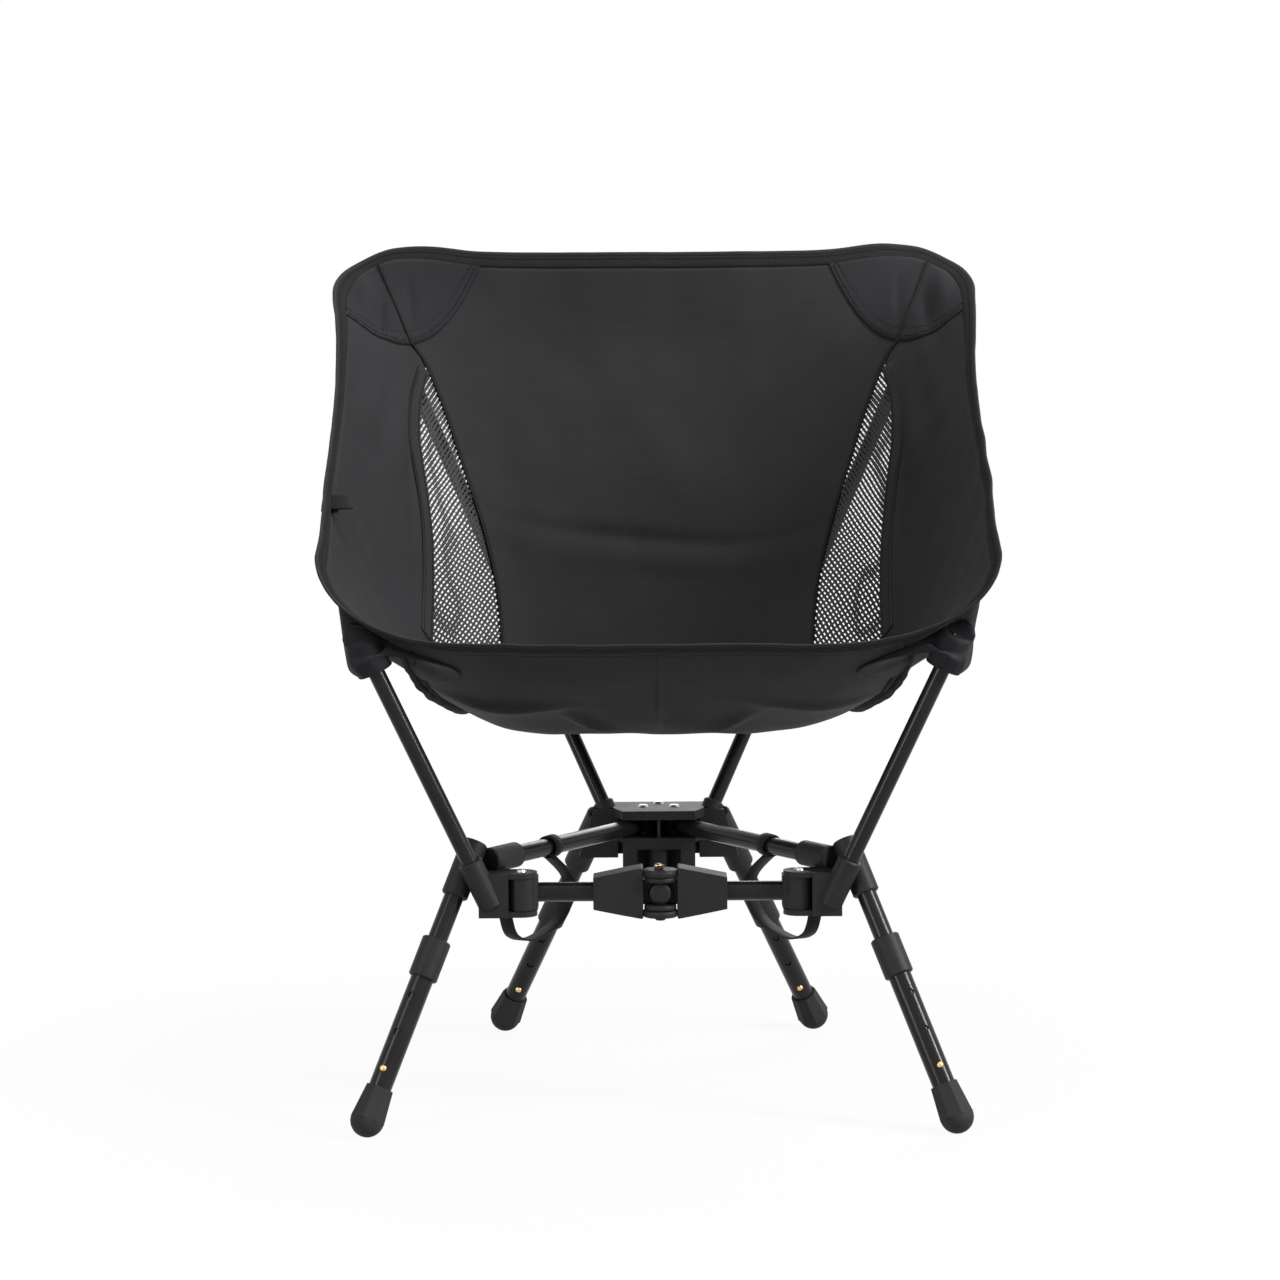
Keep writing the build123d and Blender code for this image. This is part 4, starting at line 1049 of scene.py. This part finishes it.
def disc(name, centre, axis, radius, height, material, dome=0.0, around=48):
    """A turned disc with rounded rims, and a domed top if asked."""
    side = axis.orthogonal().normalized()
    across = axis.cross(side)
    rim = min(0.0006, height / 3)
    profile = [(0, 0), (radius - rim, 0), (radius, rim), (radius, height - rim), (radius - rim, height),
               (radius * 0.6, height + dome * 0.6), (radius * 0.25, height + dome * 0.95),
               (0, height + dome)]
    points = [point for reach, rise in profile[1:-1]
              for point in circle(centre + axis * rise, side, across, reach, around)]
    return new_piece(name, points, capped_faces(len(profile) - 2, around), material)


for name, side in SIDES:
    wedge = hinge_wedge(f"hinge_housing_{name}", side)
    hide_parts(f"centre_hinge_{name}")
    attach(wedge, f"bar_{name}")

for index, (name, height, thickness, radius) in enumerate(EYES):
    eye = disc(f"hinge_eye_{index + 1}", HINGE_PIN + Z * height, Z, radius, thickness, MOULDED)
    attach(eye, f"bar_{name}")
core_corners = [HINGE + Vector((x, y, z)) for x in (-CORE_HALF_WIDTH, CORE_HALF_WIDTH)
                for y in (CORE_FRONT, CORE_BACK) for z in (-CORE_HALF_HEIGHT, CORE_HALF_HEIGHT)]
BOX_FACES = [(0, 1, 3, 2), (4, 6, 7, 5), (0, 4, 5, 1), (2, 3, 7, 6), (0, 2, 6, 4), (1, 5, 7, 3)]
core = bevelled(new_piece("hinge_core", core_corners, BOX_FACES, DARK, smooth=False), 0.0008)
ring_path = circle(HINGE - Y * RING_FRONT, X, Z, RING_R, 48, extra=2)
collar = tube("button_ring", ring_path, RING_THREAD_R, DARK, 8)
for piece in (core, collar):
    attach(piece, "bar_right")
button = disc("button_cap", HINGE - Y * BUTTON_FRONT, -Y, BUTTON_R, BUTTON_HEIGHT, MOULDED, dome=0.0004)
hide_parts("lock_button")
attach(button, "lock_button")
screw = disc("hinge_screw", HINGE_PIN + Vector((-0.0015, 0, 0.0182)), Z, SCREW_R, SCREW_HEIGHT, BRASS,
             dome=0.0008, around=24)
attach(screw, "bar_left")


# ---- snap pins in the legs ----
# on the right half: each pin's tip and the way into the leg
PINS = (("front", (0.21225, -0.1915, 0.05201), (-0.196138, 0.879513, -0.433574)),
        ("rear", (0.12269, 0.1548, 0.0403), (-0.187812, 0.885844, 0.424273)))
PIN_R, PIN_LENGTH, PIN_DOME = 0.0026, 0.0070, 0.0007
for end, tip, inwards in PINS:
    for name, side in SIDES:
        place = f"{end}_{name}"
        start = Vector((tip[0] * side, *tip[1:]))
        into = Vector((inwards[0] * side, *inwards[1:])).normalized()
        pin = disc(f"snap_pin_{place}", start + into * PIN_LENGTH, -into, PIN_R,
                   PIN_LENGTH - PIN_DOME, BRASS, dome=PIN_DOME, around=32)
        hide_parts(f"snap_button_{place}")
        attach(pin, f"snap_{place}")


# ---- finishes on the CAD nodes ----
NODE_FINISHES = (
    (("front_pole", "rear_pole", "upper_leg", "lower_leg", "side_arm", "front_bar"), ANODISED),
    (("rear_hub", "corner_hub", "arm_eye", "bar_end_block", "hinge_pins", "leg_collar"), MOULDED),
    (("foot",), RUBBER),
    (("hub_rivets", "corner_rivet"), STEEL),
)
for prefixes, material in NODE_FINISHES:
    for node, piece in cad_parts.items():
        if node.startswith(prefixes):
            piece.data.materials.clear()
            piece.data.materials.append(material)

# ---- the room ----
FLOOR_WHITE, FADE_START, FADE_END = 0.93, 0.25, 0.75
WORLD_LIGHT = 0.26
# each lamp's name, place, what it points at, size and power
LAMPS = (("key", (2.75, -1.10, 1.95), (0, 0, 0.40), (0.55, 2.0), 190),
         ("fill", (-2.3, -2.1, 1.25), (0, 0, 0.40), (0.50, 2.0), 48),
         ("top", (0.1, -0.5, 2.7), (0, 0, 0.3), (2.4, 0.7), 24),
         ("rear", (0.8, 2.6, 1.6), (0, 0, 0.4), (1.8, 1.2), 40))


def joined(tree, operation, first, second):
    """A Math node on two sockets; the second can be a plain number."""
    made = tree.nodes.new("ShaderNodeMath")
    made.operation = operation
    tree.links.new(first, made.inputs[0])
    if isinstance(second, float):
        made.inputs[1].default_value = second
    else:
        tree.links.new(second, made.inputs[1])
    return made.outputs[0]


def seen_white(tree, lit, white, share=1.0):
    """Shows white to the camera and in reflections, and the lit surface to everything else."""
    rays = tree.nodes.new("ShaderNodeLightPath").outputs
    direct = joined(tree, "MAXIMUM", rays["Is Camera Ray"], rays["Is Glossy Ray"])
    either = joined(tree, "MAXIMUM", direct, rays["Is Transmission Ray"])
    mix = tree.nodes.new("ShaderNodeMixShader")
    tree.links.new(joined(tree, "MULTIPLY", either, share), mix.inputs[0])
    tree.links.new(lit.outputs[0], mix.inputs[1])
    tree.links.new(white.outputs[0], mix.inputs[2])
    return mix.outputs[0]


def room_floor():
    """White paper: the object's soft shadow shows near it and fades out further away."""
    floor = make_floor()
    paper = Finish("paper", base_color=(0.5, 0.5, 0.5), roughness=0.9, specular_ior_level=0.1)
    white = paper.nodes.new("ShaderNodeEmission")
    x, y, _ = paper.axes(paper.place())
    distance = (x * x + y * y) ** 0.5
    share = FLOOR_WHITE + distance.ease(FADE_START, FADE_END) * (1 - FLOOR_WHITE)
    mixed = seen_white(paper.material.node_tree, paper.shader, white, share.socket)
    paper.links.new(mixed, paper.nodes["Material Output"].inputs["Surface"])
    floor.data.materials.append(paper.material)


def room_world():
    world = bpy.data.worlds.new("room")
    bpy.context.scene.world = world
    world.use_nodes = True
    nodes = world.node_tree.nodes
    soft = nodes["Background"]
    soft.inputs["Color"].default_value = (1, 1, 1, 1)
    soft.inputs["Strength"].default_value = WORLD_LIGHT
    white = nodes.new("ShaderNodeBackground")
    white.inputs["Color"].default_value = (1, 1, 1, 1)
    mixed = seen_white(world.node_tree, soft, white)
    world.node_tree.links.new(mixed, nodes["World Output"].inputs["Surface"])


make_camera()
room_floor()
room_world()
for lamp in LAMPS:
    make_lamp(*lamp)
bpy.context.scene.view_settings.view_transform = "Standard"
